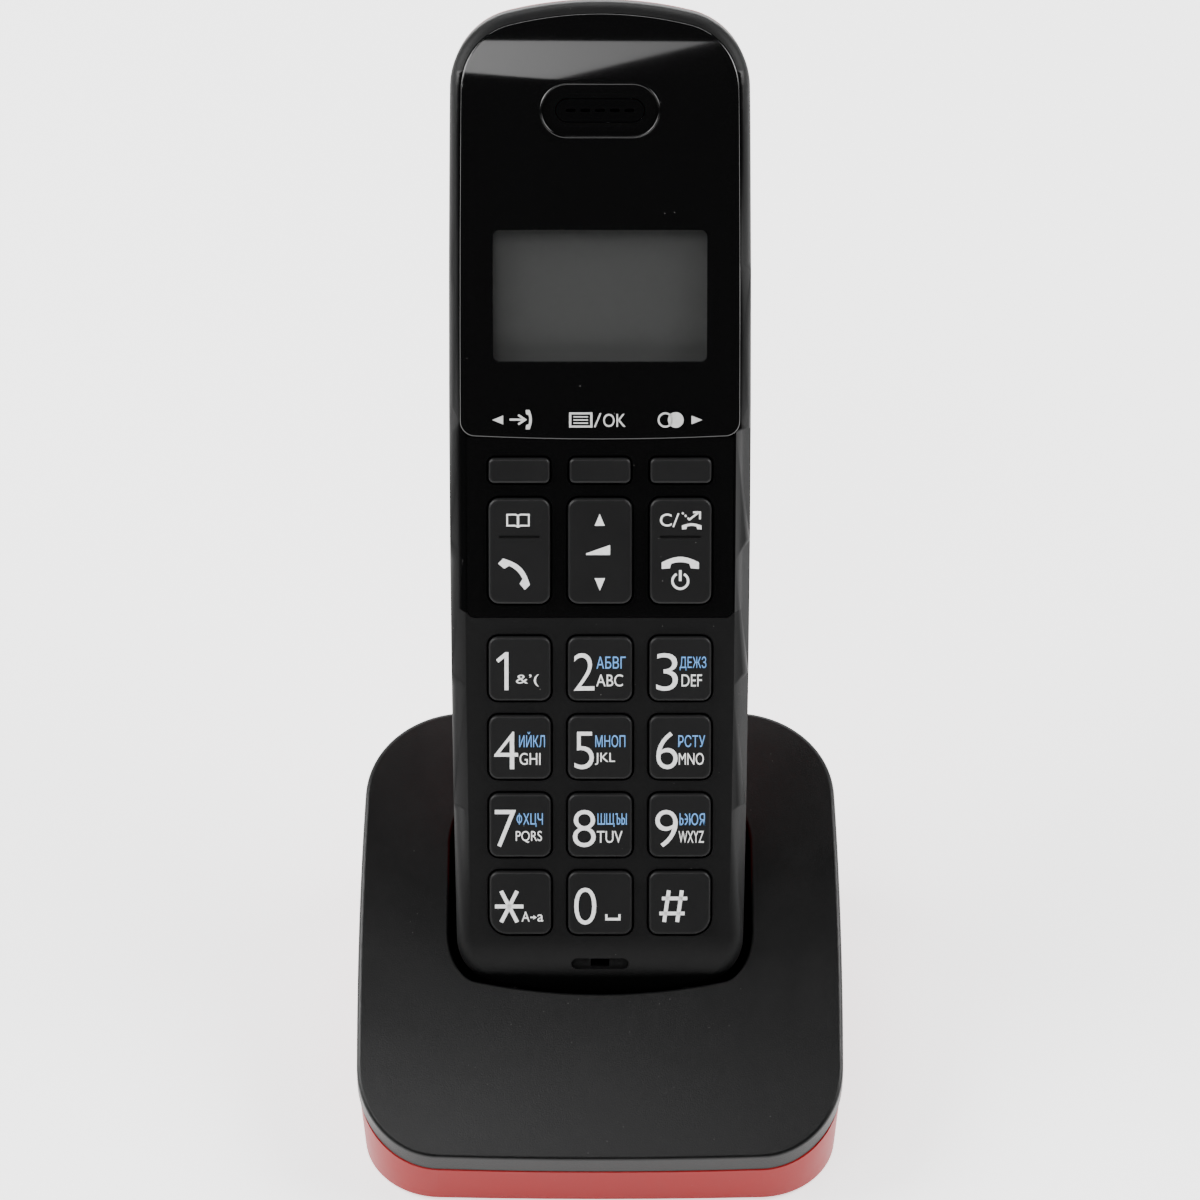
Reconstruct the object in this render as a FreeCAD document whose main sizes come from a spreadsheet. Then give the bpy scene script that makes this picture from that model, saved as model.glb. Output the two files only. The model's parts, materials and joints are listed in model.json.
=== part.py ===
import FreeCAD, Part
import math
import os
import re

import Sketcher

# Cordless telephone: a handset that stands in a wedge-shaped charging base. Millimetres.
# Drawn with the origin on the desk under the middle of the base, +X right, +Y to the rear, +Z up,
# then moved back by frame_back, so that the origin is under the middle of the whole telephone.
# Handset frame: origin at the middle of its bottom end on the face, +X right, +Y into the case,
# +Z along its length. handset_place() leans that frame back into the base's well.

Vector = FreeCAD.Vector
SIZES = {
    "frame_back": 27.06,
    # base: plan, height and walls
    "base_width": 78.5,
    "base_depth": 76.0,
    "base_front_height": 12.2,
    "base_rear_height": 37.1,
    "deck_radius": 215.0,
    "base_side_radius": 900.0,
    "base_front_radius": 900.0,
    "base_rear_radius": 400.0,
    "base_front_corner": 13.5,
    "base_rear_corner": 16.5,
    "base_widest": -10.0,
    "rim_thickness": 2.7,
    "deck_edge": 0.7,
    "housing_top_inset": 0.2,
    "housing_foot_inset": 0.9,
    "housing_wall": 2.0,
    "foot_height": 0.8,
    "foot_radius": 4.0,
    "foot_recess": 0.4,
    "foot_spread_x": 25.0,
    "foot_spread_y": 25.0,
    "seam_gap": 0.1,
    # base: well, terminals, board, sockets
    "well_gap": 0.65,
    "well_front": -0.15,
    "well_front_radius": 170.0,
    "well_side_radius": 4000.0,
    "well_floor_gap": 0.3,
    "well_wall": 1.6,
    "well_front_corner": 5.0,
    "well_rear_corner": 7.5,
    "well_reach": 25.0,
    "lip_round": 0.4,
    "rib_spread": 16.3,
    "rib_width": 1.0,
    "rib_height": 0.5,
    "rib_length": 2.6,
    "boss_spread_x": 28.5,
    "boss_front": -26.0,
    "boss_rear": 25.0,
    "boss_radius": 2.7,
    "screw_shank": 1.1,
    "screw_head": 2.0,
    "screw_head_height": 1.3,
    "screw_length": 8.0,
    "screw_play": 0.1,
    "board_height": 4.4,
    "board_thickness": 1.2,
    "board_width": 50.0,
    "board_front": -27.0,
    "board_rear": 30.5,
    "terminal_spread": 14.0,
    "terminal_depth": 7.8,
    "terminal_thickness": 0.8,
    "terminal_width": 3.0,
    "terminal_stand": 6.5,
    "terminal_travel": 1.2,
    "socket_face": 33.2,
    "line_jack_x": -14.0,
    "line_jack_width": 13.4,
    "line_jack_height": 11.4,
    "line_jack_length": 13.5,
    "line_port_width": 9.9,
    "line_port_height": 6.8,
    "line_port_depth": 10.5,
    "power_jack_x": 13.0,
    "power_jack_width": 9.0,
    "power_jack_height": 10.6,
    "power_jack_length": 13.0,
    "power_port_radius": 2.8,
    "power_port_depth": 9.0,
    "power_pin_radius": 0.65,
    "port_gap": 0.6,
    "locator_y": 29.0,
    "locator_width": 15.0,
    "locator_height": 5.4,
    "locator_corner": 2.4,
    "locator_gap": 0.3,
    "locator_proud": 0.7,
    "locator_flange": 1.0,
    "locator_travel": 0.7,
    # handset: envelope
    "case_width": 48.0,
    "case_length": 160.6,
    "case_thickness": 25.0,
    "case_side_radius": 4000.0,
    "case_crown_radius": 62.0,
    "case_chin_radius": 72.0,
    "case_crown_corner": 11.8,
    "case_chin_corner": 8.5,
    "case_widest": 92.0,
    "crown_roll": 52.0,
    "crown_roll_reach": 20.6,
    "chin_roll": 14.0,
    "chin_roll_start": 11.0,
    "back_radius": 536.0,
    "back_middle": 80.0,
    "front_round": 2.4,
    "back_round": 6.5,
    "parting": 11.0,
    "case_seam": 0.25,
    "case_wall": 1.8,
    "face_wall": 2.0,
    "end_depth": 6.6,
    "face_cavity_low": 10.0,
    "face_cavity_end": 12.6,
    "lean": 35.0,
    "dock_y": -13.6,
    "dock_z": 22.2,
    # handset: faceplate, window, function panel, earpiece, mouthpiece
    "plate_inset": 1.8,
    "plate_low": 91.8,
    "plate_low_radius": 400.0,
    "plate_corner": 2.4,
    "plate_proud": 0.25,
    "plate_depth": 1.2,
    "plate_gap": 0.1,
    "window_width": 33.8,
    "window_height": 20.9,
    "window_middle": 114.7,
    "window_corner": 1.0,
    "window_thickness": 0.8,
    "window_sink": 0.15,
    "panel_inset": 2.8,
    "panel_low": 63.2,
    "panel_corner": 1.2,
    "panel_depth": 0.9,
    "earpiece_drop": 16.7,
    "earpiece_width": 18.6,
    "earpiece_height": 8.3,
    "earpiece_dish": 0.5,
    "grille_width": 13.8,
    "grille_height": 3.5,
    "grille_gap": 0.12,
    "grille_slot": 0.5,
    "mouth_middle": 6.1,
    "mouth_width": 9.3,
    "mouth_height": 2.0,
    "mouth_slot": 3.0,
    # handset: keys
    "key_pitch_x": 12.83,
    "key_pitch_z": 12.8,
    "key_low_row": 16.5,
    "key_width": 9.9,
    "key_middle_width": 10.3,
    "key_height": 10.4,
    "key_corner": 1.5,
    "key_outer_corner": 2.9,
    "key_gap": 0.35,
    "key_proud": 0.7,
    "key_edge": 0.45,
    "key_flange": 0.7,
    "key_flange_depth": 2.25,
    "rocker_flange_depth": 2.5,
    "key_depth": 3.0,
    "key_travel": 0.5,
    "soft_key_width": 9.7,
    "soft_key_height": 4.0,
    "soft_key_corner": 0.9,
    "soft_key_row": 86.9,
    "rocker_width": 9.8,
    "rocker_middle_width": 10.2,
    "rocker_height": 17.0,
    "rocker_corner": 1.7,
    "rocker_row": 73.95,
    "rocker_line_row": 76.3,
    "rocker_line_width": 6.5,
    "rocker_line_height": 0.45,
    "rocker_line_depth": 0.25,
    # handset: inside
    "mat_front": 3.65,
    "mat_sheet": 5.2,
    "mat_dome": 3.4,
    "handset_board_front": 6.3,
    "handset_board_thickness": 1.0,
    "handset_board_width": 36.8,
    "handset_board_low": 13.0,
    "handset_board_high": 132.0,
    "lcd_margin_x": 2.1,
    "lcd_margin_z": 2.55,
    "lcd_front": 2.2,
    "lcd_thickness": 1.6,
    "backlight_thickness": 2.2,
    "battery_radius": 5.2,
    "battery_length": 44.0,
    "battery_low": 46.0,
    "battery_play": 1.0,
    "battery_floor_play": 0.1,
    "bay_wall": 1.2,
    "bay_side_play": 1.3,
    "spring_room": 4.0,
    "plate_room": 3.5,
    "bay_floor": 11.5,
    "cover_lap_x": 4.8,
    "cover_lap_low": 4.0,
    "cover_lap_high": 3.5,
    "cover_thickness": 1.8,
    "cover_gap": 0.15,
    "cover_floor_gap": 0.4,
    "cover_corner": 3.0,
    "cover_slide": 5.5,
    "cover_rib": 0.35,
    "case_screw_x": 20.6,
    "case_screw_z": 66.0,
    "case_boss_radius": 2.0,
    "case_screw_shank": 0.8,
    "case_screw_head": 1.5,
    "case_screw_length": 16.0,
    "charge_pad_width": 3.0,
    "charge_pad_depth": 4.6,
    "charge_pad_thickness": 0.6,
    "charge_pad_sink": 0.3,
    "speaker_radius": 6.2,
    "ringer_radius": 7.0,
    "ringer_middle": 120.0,
}

# Sizes that follow from others, so that what fits together changes together.
FITS = {
    "crown_depth": "case_thickness - back_radius + sqrt(back_radius ^ 2 - (case_length - back_middle) ^ 2)",
    "rear_round": "min(back_round; 0.85 * (crown_depth - parting - case_seam))",
    "crown_roll_start": "case_length - crown_roll_reach",
    "face_cavity_high": "case_length - face_cavity_end",
    "earpiece_middle": "case_length - earpiece_drop",
    "lcd_width": "window_width + 2 * lcd_margin_x",
    "lcd_height": "window_height + 2 * lcd_margin_z",
    "battery_pitch": "2 * battery_radius + battery_play",
    "battery_axis": "bay_floor + battery_radius + battery_floor_play",
    "bay_width": "battery_pitch + 2 * battery_radius + 2 * bay_side_play",
    "bay_low": "battery_low - spring_room",
    "bay_high": "battery_low + battery_length + plate_room",
    "cover_width": "bay_width + 2 * cover_lap_x",
    "cover_low": "bay_low - cover_lap_low",
    "cover_high": "bay_high + cover_lap_high",
}

doc = FreeCAD.newDocument("cordless_phone")
sizes = doc.addObject("Spreadsheet::Sheet", "sizes")
for row, (alias, number) in enumerate(SIZES.items(), start=1):
    sizes.set(f"A{row}", alias)
    sizes.set(f"B{row}", str(number))
    sizes.setAlias(f"B{row}", alias)
doc.recompute()
for row, (alias, rule) in enumerate(FITS.items(), start=len(SIZES) + 1):
    sizes.set(f"A{row}", alias)
    sizes.set(f"B{row}", f"={rule}")
    sizes.setAlias(f"B{row}", alias)
    doc.recompute()


# --- rules: a rule is an expression in the sheet's aliases, such as "case_width / 2" ---

def linked(rule):
    """The rule with each alias written the way other objects read it."""
    known = {**SIZES, **FITS}
    return re.sub(
        r"[a-z][a-z0-9_]*",
        lambda word: "sizes." + word.group() if word.group() in known else word.group(),
        str(rule),
    )


def value(rule):
    return float(sizes.evalExpression(linked(rule)))


def neg(rule):
    return f"-({rule})"


# The deck is a cylinder across the base, through its front and rear heights.
DECK_RISE = "(base_rear_height - base_front_height)"
DECK_CHORD = f"sqrt(base_depth ^ 2 + {DECK_RISE} ^ 2)"
DECK_DROP = f"sqrt(deck_radius ^ 2 - {DECK_CHORD} ^ 2 / 4)"
DECK_Y = f"({DECK_RISE} / {DECK_CHORD} * {DECK_DROP})"
DECK_Z = f"((base_front_height + base_rear_height) / 2 - base_depth / {DECK_CHORD} * {DECK_DROP})"


def deck_height(y, below="0"):
    """Height at y of the cylinder that lies that far below the deck."""
    return f"({DECK_Z} + sqrt((deck_radius - ({below})) ^ 2 - ({y} - {DECK_Y}) ^ 2))"


def back_depth(z, inset="0"):
    """Depth in the handset frame of the curved back, or of a layer inside it."""
    centre = "(case_thickness - back_radius)"
    return f"({centre} + sqrt((back_radius - ({inset})) ^ 2 - ({z} - back_middle) ^ 2))"


def face_depth(z, inset="0"):
    """Depth in the handset frame of the rolled part of the face, at the crown or the chin."""
    crown = value(z) > value("crown_roll_start")
    radius, start = ("crown_roll", "crown_roll_start") if crown else ("chin_roll", "chin_roll_start")
    return f"({radius} - sqrt(({radius} - ({inset})) ^ 2 - ({z} - {start}) ^ 2))"


# --- sketches ---

def new_body(label):
    body = doc.addObject("PartDesign::Body", label)
    body.Label = label
    return body


class Drawing:
    """A sketch whose lines and dimensions are gathered first and added together."""

    def __init__(self, body, plane, lift, turned):
        self.sketch = body.newObject("Sketcher::SketchObject", f"{body.Name}_sketch")
        self.sketch.AttachmentSupport = [(next(f for f in body.Origin.OriginFeatures if f.Role == plane), "")]
        self.sketch.MapMode = "FlatFace"
        if turned is not None:
            self.sketch.AttachmentOffset = turned
        else:
            self.sketch.AttachmentOffset = FreeCAD.Placement(Vector(0, 0, value(lift)), FreeCAD.Rotation())
            self.sketch.setExpression("AttachmentOffset.Base.z", linked(lift))
        self.lines = []
        self.ties = []
        self.rules = {}

    def line(self, geometry):
        self.lines.append(geometry)
        return len(self.lines) - 1

    def tie(self, kind, *where):
        self.ties.append(Sketcher.Constraint(kind, *where))

    def pin(self, kind, where, rule):
        """A dimension that follows its rule."""
        self.rules[len(self.ties)] = rule
        self.ties.append(Sketcher.Constraint(kind, *where, value(rule)))

    def pin_point(self, geometry, end, x, y):
        self.pin("DistanceX", (-1, 1, geometry, end), x)
        self.pin("DistanceY", (-1, 1, geometry, end), y)

    def finish(self):
        self.sketch.addGeometry(self.lines, False)
        self.sketch.addConstraint(self.ties)
        for index, rule in self.rules.items():
            self.sketch.setExpression(f"Constraints[{index}]", linked(rule))
        return self.sketch


def sketch(body, plane, lift="0", turned=None):
    """Drawing on an origin plane, lifted along its normal, or turned by a placement of its own."""
    return Drawing(body, plane, lift, turned)


def arc(centre, radius, start, stop):
    """Counter-clockwise arc from the direction of start to that of stop."""
    first = math.atan2(start.y - centre.y, start.x - centre.x)
    last = math.atan2(stop.y - centre.y, stop.x - centre.x)
    if last <= first:
        last += 2 * math.pi
    return Part.ArcOfCircle(Part.Circle(centre, Vector(0, 0, 1), radius), first, last)


def contour(made, nodes):
    """Closed contour through pinned corners. A node (x, y, radius, side) bends its run to the
    next corner: side 1 has the arc's centre on the left, side -1 on the right."""
    spots = [Vector(value(node[0]), value(node[1]), 0) for node in nodes]
    runs = []
    for index, node in enumerate(nodes):
        here, there = spots[index], spots[(index + 1) % len(nodes)]
        if len(node) == 2:
            runs.append((made.line(Part.LineSegment(here, there)), 1, 2))
            continue
        radius, side = value(node[2]), node[3]
        run = there - here
        left = Vector(-run.y, run.x, 0).normalize()
        centre = (here + there) / 2 + left * (side * math.sqrt(radius**2 - run.Length**2 / 4))
        if side > 0:
            runs.append((made.line(arc(centre, radius, here, there)), 1, 2))
        else:
            runs.append((made.line(arc(centre, radius, there, here)), 2, 1))
        made.pin("Radius", (runs[-1][0],), node[2])
    for index, node in enumerate(nodes):
        geometry, first, last = runs[index]
        following = runs[(index + 1) % len(nodes)]
        made.tie("Coincident", geometry, last, following[0], following[1])
        made.pin_point(geometry, first, node[0], node[1])


def rectangle(made, x, y, width, height):
    left, right = f"{x} - ({width}) / 2", f"{x} + ({width}) / 2"
    low, high = f"{y} - ({height}) / 2", f"{y} + ({height}) / 2"
    contour(made, [(left, low), (right, low), (right, high), (left, high)])


def rounded(made, x, y, width, height, corner, special=None):
    """Rounded rectangle. special gives other radii by corner: 0 low left, then counter-clockwise."""
    radii = [(special or {}).get(index, corner) for index in range(4)]
    half_w, half_h = value(f"({width}) / 2"), value(f"({height}) / 2")
    middle = Vector(value(x), value(y), 0)
    arcs = []
    ends = []
    for (sx, sy), rule in zip([(-1, -1), (1, -1), (1, 1), (-1, 1)], radii):
        radius = value(rule)
        centre = middle + Vector(sx * (half_w - radius), sy * (half_h - radius), 0)
        away_x, away_y = centre + Vector(sx * radius, 0, 0), centre + Vector(0, sy * radius, 0)
        turn = (away_x, away_y) if sx * sy > 0 else (away_y, away_x)
        arcs.append(made.line(arc(centre, radius, *turn)))
        ends.append(turn)
    for index in range(4):
        after = (index + 1) % 4
        side = made.line(Part.LineSegment(ends[index][1], ends[after][0]))
        made.tie("Tangent", arcs[index], 2, side, 1)
        made.tie("Tangent", side, 2, arcs[after], 1)
        level = index % 2 == 0
        made.tie("Horizontal" if level else "Vertical", side)
        sign = "-" if index in (0, 3) else "+"
        reach, about = (height, y) if level else (width, x)
        made.pin("DistanceY" if level else "DistanceX", (-1, 1, side, 1), f"{about} {sign} ({reach}) / 2")
    for geometry, rule in zip(arcs, radii):
        made.pin("Radius", (geometry,), rule)


def obround(made, x, y, width, height):
    """Slot with round ends, lying along x."""
    reach, radius = f"({width} - ({height})) / 2", f"({height}) / 2"
    arcs = []
    for sign in (-1, 1):
        centre = Vector(value(x) + sign * value(reach), value(y), 0)
        edge = Vector(0, sign * value(radius), 0)
        arcs.append(arc(centre, value(radius), centre - edge, centre + edge))
    left, right = made.line(arcs[0]), made.line(arcs[1])
    bottom = made.line(Part.LineSegment(arcs[0].EndPoint, arcs[1].StartPoint))
    top = made.line(Part.LineSegment(arcs[1].EndPoint, arcs[0].StartPoint))
    for one, other in ((left, bottom), (bottom, right), (right, top), (top, left)):
        made.tie("Tangent", one, 2, other, 1)
    made.tie("Horizontal", bottom)
    made.pin_point(left, 3, f"{x} - {reach}", y)
    made.pin("DistanceX", (-1, 1, right, 3), f"{x} + {reach}")
    made.pin("Radius", (left,), radius)


def circle(made, x, y, radius):
    spot = Vector(value(x), value(y), 0)
    geometry = made.line(Part.Circle(spot, Vector(0, 0, 1), value(radius)))
    made.pin_point(geometry, 3, x, y)
    made.pin("Radius", (geometry,), radius)


def touching(one, two, first, second, outward):
    """Centre at those distances from two others: the one further along outward."""
    apart = two - one
    along = (first**2 - second**2 + apart.Length**2) / (2 * apart.Length)
    across = math.sqrt(first**2 - along**2)
    way = Vector(apart).normalize()
    aside = Vector(-way.y, way.x, 0) * across
    return max((one + way * along + aside, one + way * along - aside), key=outward.dot)


def soft_outline(made, plan, inset="0"):
    """Closed outline of eight tangent arcs: two sides, two ends and four corners, all moved in
    by inset. plan holds rules: half, low, high, middle, side, low_end, high_end, low_corner,
    high_corner."""
    side_x = f"({plan['half']} - {plan['side']})"
    ends = {
        "low": (f"({plan['low']} + {plan['low_end']})", plan["low_end"], plan["low_corner"], -1),
        "high": (f"({plan['high']} - {plan['high_end']})", plan["high_end"], plan["high_corner"], 1),
    }

    def side_arc(sign):
        return (Vector(sign * value(side_x), value(plan["middle"]), 0), f"{plan['side']} - ({inset})")

    def end_arc(end):
        return (Vector(0, value(ends[end][0]), 0), f"{ends[end][1]} - ({inset})")

    def corner_arc(sign, end):
        level, radius, corner, up = ends[end]
        centre = touching(
            side_arc(sign)[0], end_arc(end)[0], value(f"{plan['side']} - ({corner})"),
            value(f"{radius} - ({corner})"), Vector(sign, up, 0),
        )
        return (centre, f"{corner} - ({inset})")

    arcs = [
        side_arc(1), corner_arc(1, "high"), end_arc("high"), corner_arc(-1, "high"),
        side_arc(-1), corner_arc(-1, "low"), end_arc("low"), corner_arc(1, "low"),
    ]
    touches = []
    for index, (centre, rule) in enumerate(arcs):
        after_centre, after_rule = arcs[(index + 1) % 8]
        small, large = (centre, after_centre) if value(rule) < value(after_rule) else (after_centre, centre)
        way = Vector(small - large).normalize()
        touches.append(small + way * min(value(rule), value(after_rule)))
    drawn = [
        made.line(arc(centre, value(rule), touches[index - 1], touches[index]))
        for index, (centre, rule) in enumerate(arcs)
    ]
    for index, geometry in enumerate(drawn):
        made.tie("Tangent", geometry, 2, drawn[(index + 1) % 8], 1)
        made.pin("Radius", (geometry,), arcs[index][1])
    made.pin_point(drawn[0], 3, side_x, plan["middle"])
    made.pin_point(drawn[4], 3, neg(side_x), plan["middle"])
    made.pin_point(drawn[2], 3, "0", ends["high"][0])
    made.pin_point(drawn[6], 3, "0", ends["low"][0])


BASE_PLAN = {
    "half": "base_width / 2", "low": "-base_depth / 2", "high": "base_depth / 2", "middle": "base_widest",
    "side": "base_side_radius", "low_end": "base_front_radius", "high_end": "base_rear_radius",
    "low_corner": "base_front_corner", "high_corner": "base_rear_corner",
}
CASE_PLAN = {
    "half": "case_width / 2", "low": "0", "high": "case_length", "middle": "case_widest",
    "side": "case_side_radius", "low_end": "case_chin_radius", "high_end": "case_crown_radius",
    "low_corner": "case_chin_corner", "high_corner": "case_crown_corner",
}


WELL_PLAN = {
    "half": "(case_width / 2 + well_gap)", "low": "well_front", "high": f"({back_depth('well_reach')} + well_gap)",
    "middle": "case_thickness / 2", "side": "well_side_radius", "low_end": "well_front_radius",
    "high_end": "well_side_radius", "low_corner": "well_front_corner", "high_corner": "well_rear_corner",
}


def plate_plan(low):
    """The case's outline, but starting at low with corners of its own once moved in by plate_inset."""
    return dict(
        CASE_PLAN, low=f"{low} - plate_inset", low_end="plate_low_radius + plate_inset",
        low_corner="plate_corner + plate_inset",
    )


# --- features ---

def extrude(kind, body, made, length, reverse, both):
    feature = body.newObject(f"PartDesign::{kind}", f"{body.Name}_{kind.lower()}")
    feature.Profile = made.finish()
    if length is None:
        feature.Type = "ThroughAll"
    else:
        feature.Length = value(length)
        feature.setExpression("Length", linked(length))
    feature.Reversed = reverse
    if both:
        feature.SideType = "Symmetric"
    return feature


def pad(body, made, length, reverse=False, both=False):
    return extrude("Pad", body, made, length, reverse, both)


def pocket(body, made, length=None, reverse=False, both=False):
    return extrude("Pocket", body, made, length, reverse, both)


def loft(body, sections, subtract=False):
    kind = "SubtractiveLoft" if subtract else "AdditiveLoft"
    feature = body.newObject(f"PartDesign::{kind}", f"{body.Name}_loft")
    feature.Profile, *feature.Sections = [section.finish() for section in sections]
    feature.Ruled = True
    return feature


def dress(kind, body, picks, size):
    """Fillet or chamfer on the edges of the body's tip that picks accepts."""
    doc.recompute()
    tip = body.Tip
    names = [f"Edge{n}" for n, edge in enumerate(tip.Shape.Edges, start=1) if picks(edge, tip.Shape)]
    if not names:
        raise RuntimeError(f"{body.Label}: no edge to dress")
    feature = body.newObject(f"PartDesign::{kind}", f"{body.Name}_{kind.lower()}")
    feature.Base = (tip, names)
    prop = "Radius" if kind == "Fillet" else "Size"
    setattr(feature, prop, value(size))
    feature.setExpression(prop, linked(size))
    return feature


def on_rim(axis, test=lambda middle: True):
    """Picks edges where a wall parallel to axis meets a face that isn't, near a middle point."""

    def is_wall(face):
        u0, u1, v0, v1 = face.ParameterRange
        return abs(face.normalAt((u0 + u1) / 2, (v0 + v1) / 2).dot(axis)) < 1e-4

    def picks(edge, shape):
        faces = shape.ancestorsOfType(edge, Part.Face)
        middle = edge.valueAt((edge.FirstParameter + edge.LastParameter) / 2)
        return len(faces) == 2 and is_wall(faces[0]) != is_wall(faces[1]) and test(middle)

    return picks


def outside(body, made, plan, inset, reach):
    """Draws a frame from the outline out to past reach, so that pocketing it keeps the inside."""
    rectangle(made, "0", f"({plan['low']} + {plan['high']}) / 2", reach, reach)
    soft_outline(made, plan, inset)
    return pocket(body, made, None, both=True)


def block(label, x, y, z, size_x, size_y, size_z):
    """Part box by its middle in x, its low y and its low z."""
    made = doc.addObject("Part::Box", label)
    for prop, rule in (("Length", size_x), ("Width", size_y), ("Height", size_z)):
        setattr(made, prop, value(rule))
        made.setExpression(prop, linked(rule))
    made.Placement = FreeCAD.Placement(
        Vector(value(f"{x} - ({size_x}) / 2"), value(y), value(z)), FreeCAD.Rotation()
    )
    return made


def rod(label, radius, length, spot, direction=Vector(0, 0, 1)):
    """Part cylinder from a spot, given as three rules, along a direction."""
    made = doc.addObject("Part::Cylinder", label)
    made.Radius = value(radius)
    made.setExpression("Radius", linked(radius))
    made.Height = value(length)
    made.setExpression("Height", linked(length))
    turn = FreeCAD.Rotation(Vector(0, 0, 1), direction)
    made.Placement = FreeCAD.Placement(Vector(*[value(rule) for rule in spot]), turn)
    return made


def joined(label, pieces):
    made = doc.addObject("Part::MultiFuse", label)
    made.Shapes = pieces
    return made


def grouped(label, pieces):
    """Separate solids of one node."""
    made = doc.addObject("Part::Compound", label)
    made.Links = pieces
    return made


def cut(label, body, tool):
    made = doc.addObject("Part::Cut", label)
    made.Base = body
    made.Tool = tool
    return made


# --- where things stand ---

def handset_place():
    turn = FreeCAD.Rotation(Vector(1, 0, 0), -value("lean"))
    return FreeCAD.Placement(Vector(0, value("dock_y"), value("dock_z")), turn)


HANDSET = []
BASE = []
BACKWARD = Vector(0, 1, 0)
COLUMNS = ("-key_pitch_x", "0", "key_pitch_x")


def in_handset(made, label):
    made.Label = label
    HANDSET.append(made)
    return made


def in_base(made, label):
    made.Label = label
    BASE.append(made)
    return made


# --- base: cover, housing ---

def well_section(made, wall="0"):
    """Section of the well across the handset's axis: x across, y from face to back."""
    soft_outline(made, WELL_PLAN, neg(wall))


def across_handset(level):
    """Plane across the handset's axis, that far up from its bottom end."""
    return handset_place().multiply(FreeCAD.Placement(Vector(0, 0, value(level)), FreeCAD.Rotation()))


def deck_layer(body, top, bottom):
    """Everything in the base between two depths below the deck, as a sketch from the side."""
    made = sketch(body, "YZ_Plane")
    front, rear = "-base_depth / 2 - 4", "base_depth / 2 + 4"
    contour(made, [
        (front, deck_height(front, bottom), f"deck_radius - ({bottom})", -1),
        (rear, deck_height(rear, bottom)),
        (rear, deck_height(rear, top), f"deck_radius - ({top})", 1),
        (front, deck_height(front, top)),
    ])
    return made


def above_deck(body, below):
    made = sketch(body, "YZ_Plane")
    front, rear, sky = "-base_depth / 2 - 30", "base_depth / 2 + 30", "base_rear_height + 80"
    contour(made, [
        (front, deck_height(front, below), f"deck_radius - ({below})", -1),
        (rear, deck_height(rear, below)), (rear, sky), (front, sky),
    ])
    return made


def locator_place():
    """On the deck behind the well, with +Z out of the deck."""
    y = value("locator_y")
    z = value(deck_height("locator_y"))
    out = Vector(0, y - value(DECK_Y), z - value(DECK_Z)).normalize()
    return FreeCAD.Placement(Vector(0, y, z), FreeCAD.Rotation(Vector(0, 0, 1), out))


def base_cover():
    body = new_body("base_cover")
    pad(body, deck_layer(body, "0", "rim_thickness"), "base_width + 8", both=True)
    outside(body, sketch(body, "XY_Plane"), BASE_PLAN, "0", "base_width * 3")
    tub = sketch(body, "XY_Plane", turned=across_handset("-well_floor_gap - well_wall"))
    well_section(tub, "well_wall")
    pad(body, tub, "70")
    bosses = sketch(body, "XY_Plane", "foot_height + housing_wall + 0.6 + seam_gap")
    for x in ("-boss_spread_x", "boss_spread_x"):
        for y in ("boss_front", "boss_rear"):
            circle(bosses, x, y, "boss_radius")
    pad(body, bosses, "base_rear_height")
    well = sketch(body, "XY_Plane", turned=across_handset("-well_floor_gap"))
    well_section(well)
    pocket(body, well, None, reverse=True)
    pocket(body, above_deck(body, "0"), None, both=True)
    slots = sketch(body, "XY_Plane", turned=across_handset("0"))
    for x in ("-terminal_spread", "terminal_spread"):
        rectangle(slots, x, "terminal_depth", "terminal_thickness + 1.0", "terminal_width + 1.0")
    pocket(body, slots, "well_wall + well_floor_gap + 1")
    pilot = sketch(body, "XY_Plane", "foot_height")
    for x in ("-boss_spread_x", "boss_spread_x"):
        for y in ("boss_front", "boss_rear"):
            circle(pilot, x, y, "screw_shank + screw_play")
    pocket(body, pilot, "screw_length + 2", reverse=True)
    button = sketch(body, "XY_Plane", turned=locator_place().multiply(
        FreeCAD.Placement(Vector(0, 0, 2), FreeCAD.Rotation())))
    rounded(
        button, "0", "0", "locator_width + 2 * locator_gap", "locator_height + 2 * locator_gap",
        "locator_corner + locator_gap",
    )
    pocket(body, button, "8")
    up = Vector(0, 0, 1)
    dress("Fillet", body, on_rim(up, lambda p: on_deck(p) and near_edge(p)), "deck_edge")
    axis = handset_place().Rotation.multVec(up)
    dress("Fillet", body, on_rim(axis, lambda p: on_deck(p) and in_well(p)), "lip_round")
    ribs = sketch(body, "XY_Plane", turned=across_handset("-well_floor_gap"))
    front_wall = "well_front + well_front_radius - sqrt(well_front_radius ^ 2 - rib_spread ^ 2)"
    for x in ("-rib_spread", "rib_spread"):
        rectangle(ribs, x, f"{front_wall} + rib_height / 2 - 0.1", "rib_width", "rib_height + 0.2")
    pad(body, ribs, "rib_length")
    return in_base(body, "base_cover")


def on_deck(point):
    return abs(point.z - value(deck_height(f"{point.y:.6f}"))) < 0.02


def near_edge(point):
    return abs(point.x) > value("base_width / 2 - 9") or abs(point.y) > value("base_depth / 2 - 7")


def in_well(point):
    local = handset_place().inverse().multVec(point)
    inside = abs(local.x) < value("case_width / 2 + well_gap + 0.2")
    return inside and local.y < value("case_thickness") and point.y < value("locator_y - locator_height")


def tilted_top(drop):
    """Plane along the chord of the deck, that far under it."""
    slope = math.degrees(math.atan2(value(DECK_RISE), value("base_depth")))
    turn = FreeCAD.Rotation(Vector(1, 0, 0), slope)
    middle = Vector(0, 0, value("(base_front_height + base_rear_height) / 2"))
    return FreeCAD.Placement(middle + turn.multVec(Vector(0, 0, -value(drop))), turn)


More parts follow.
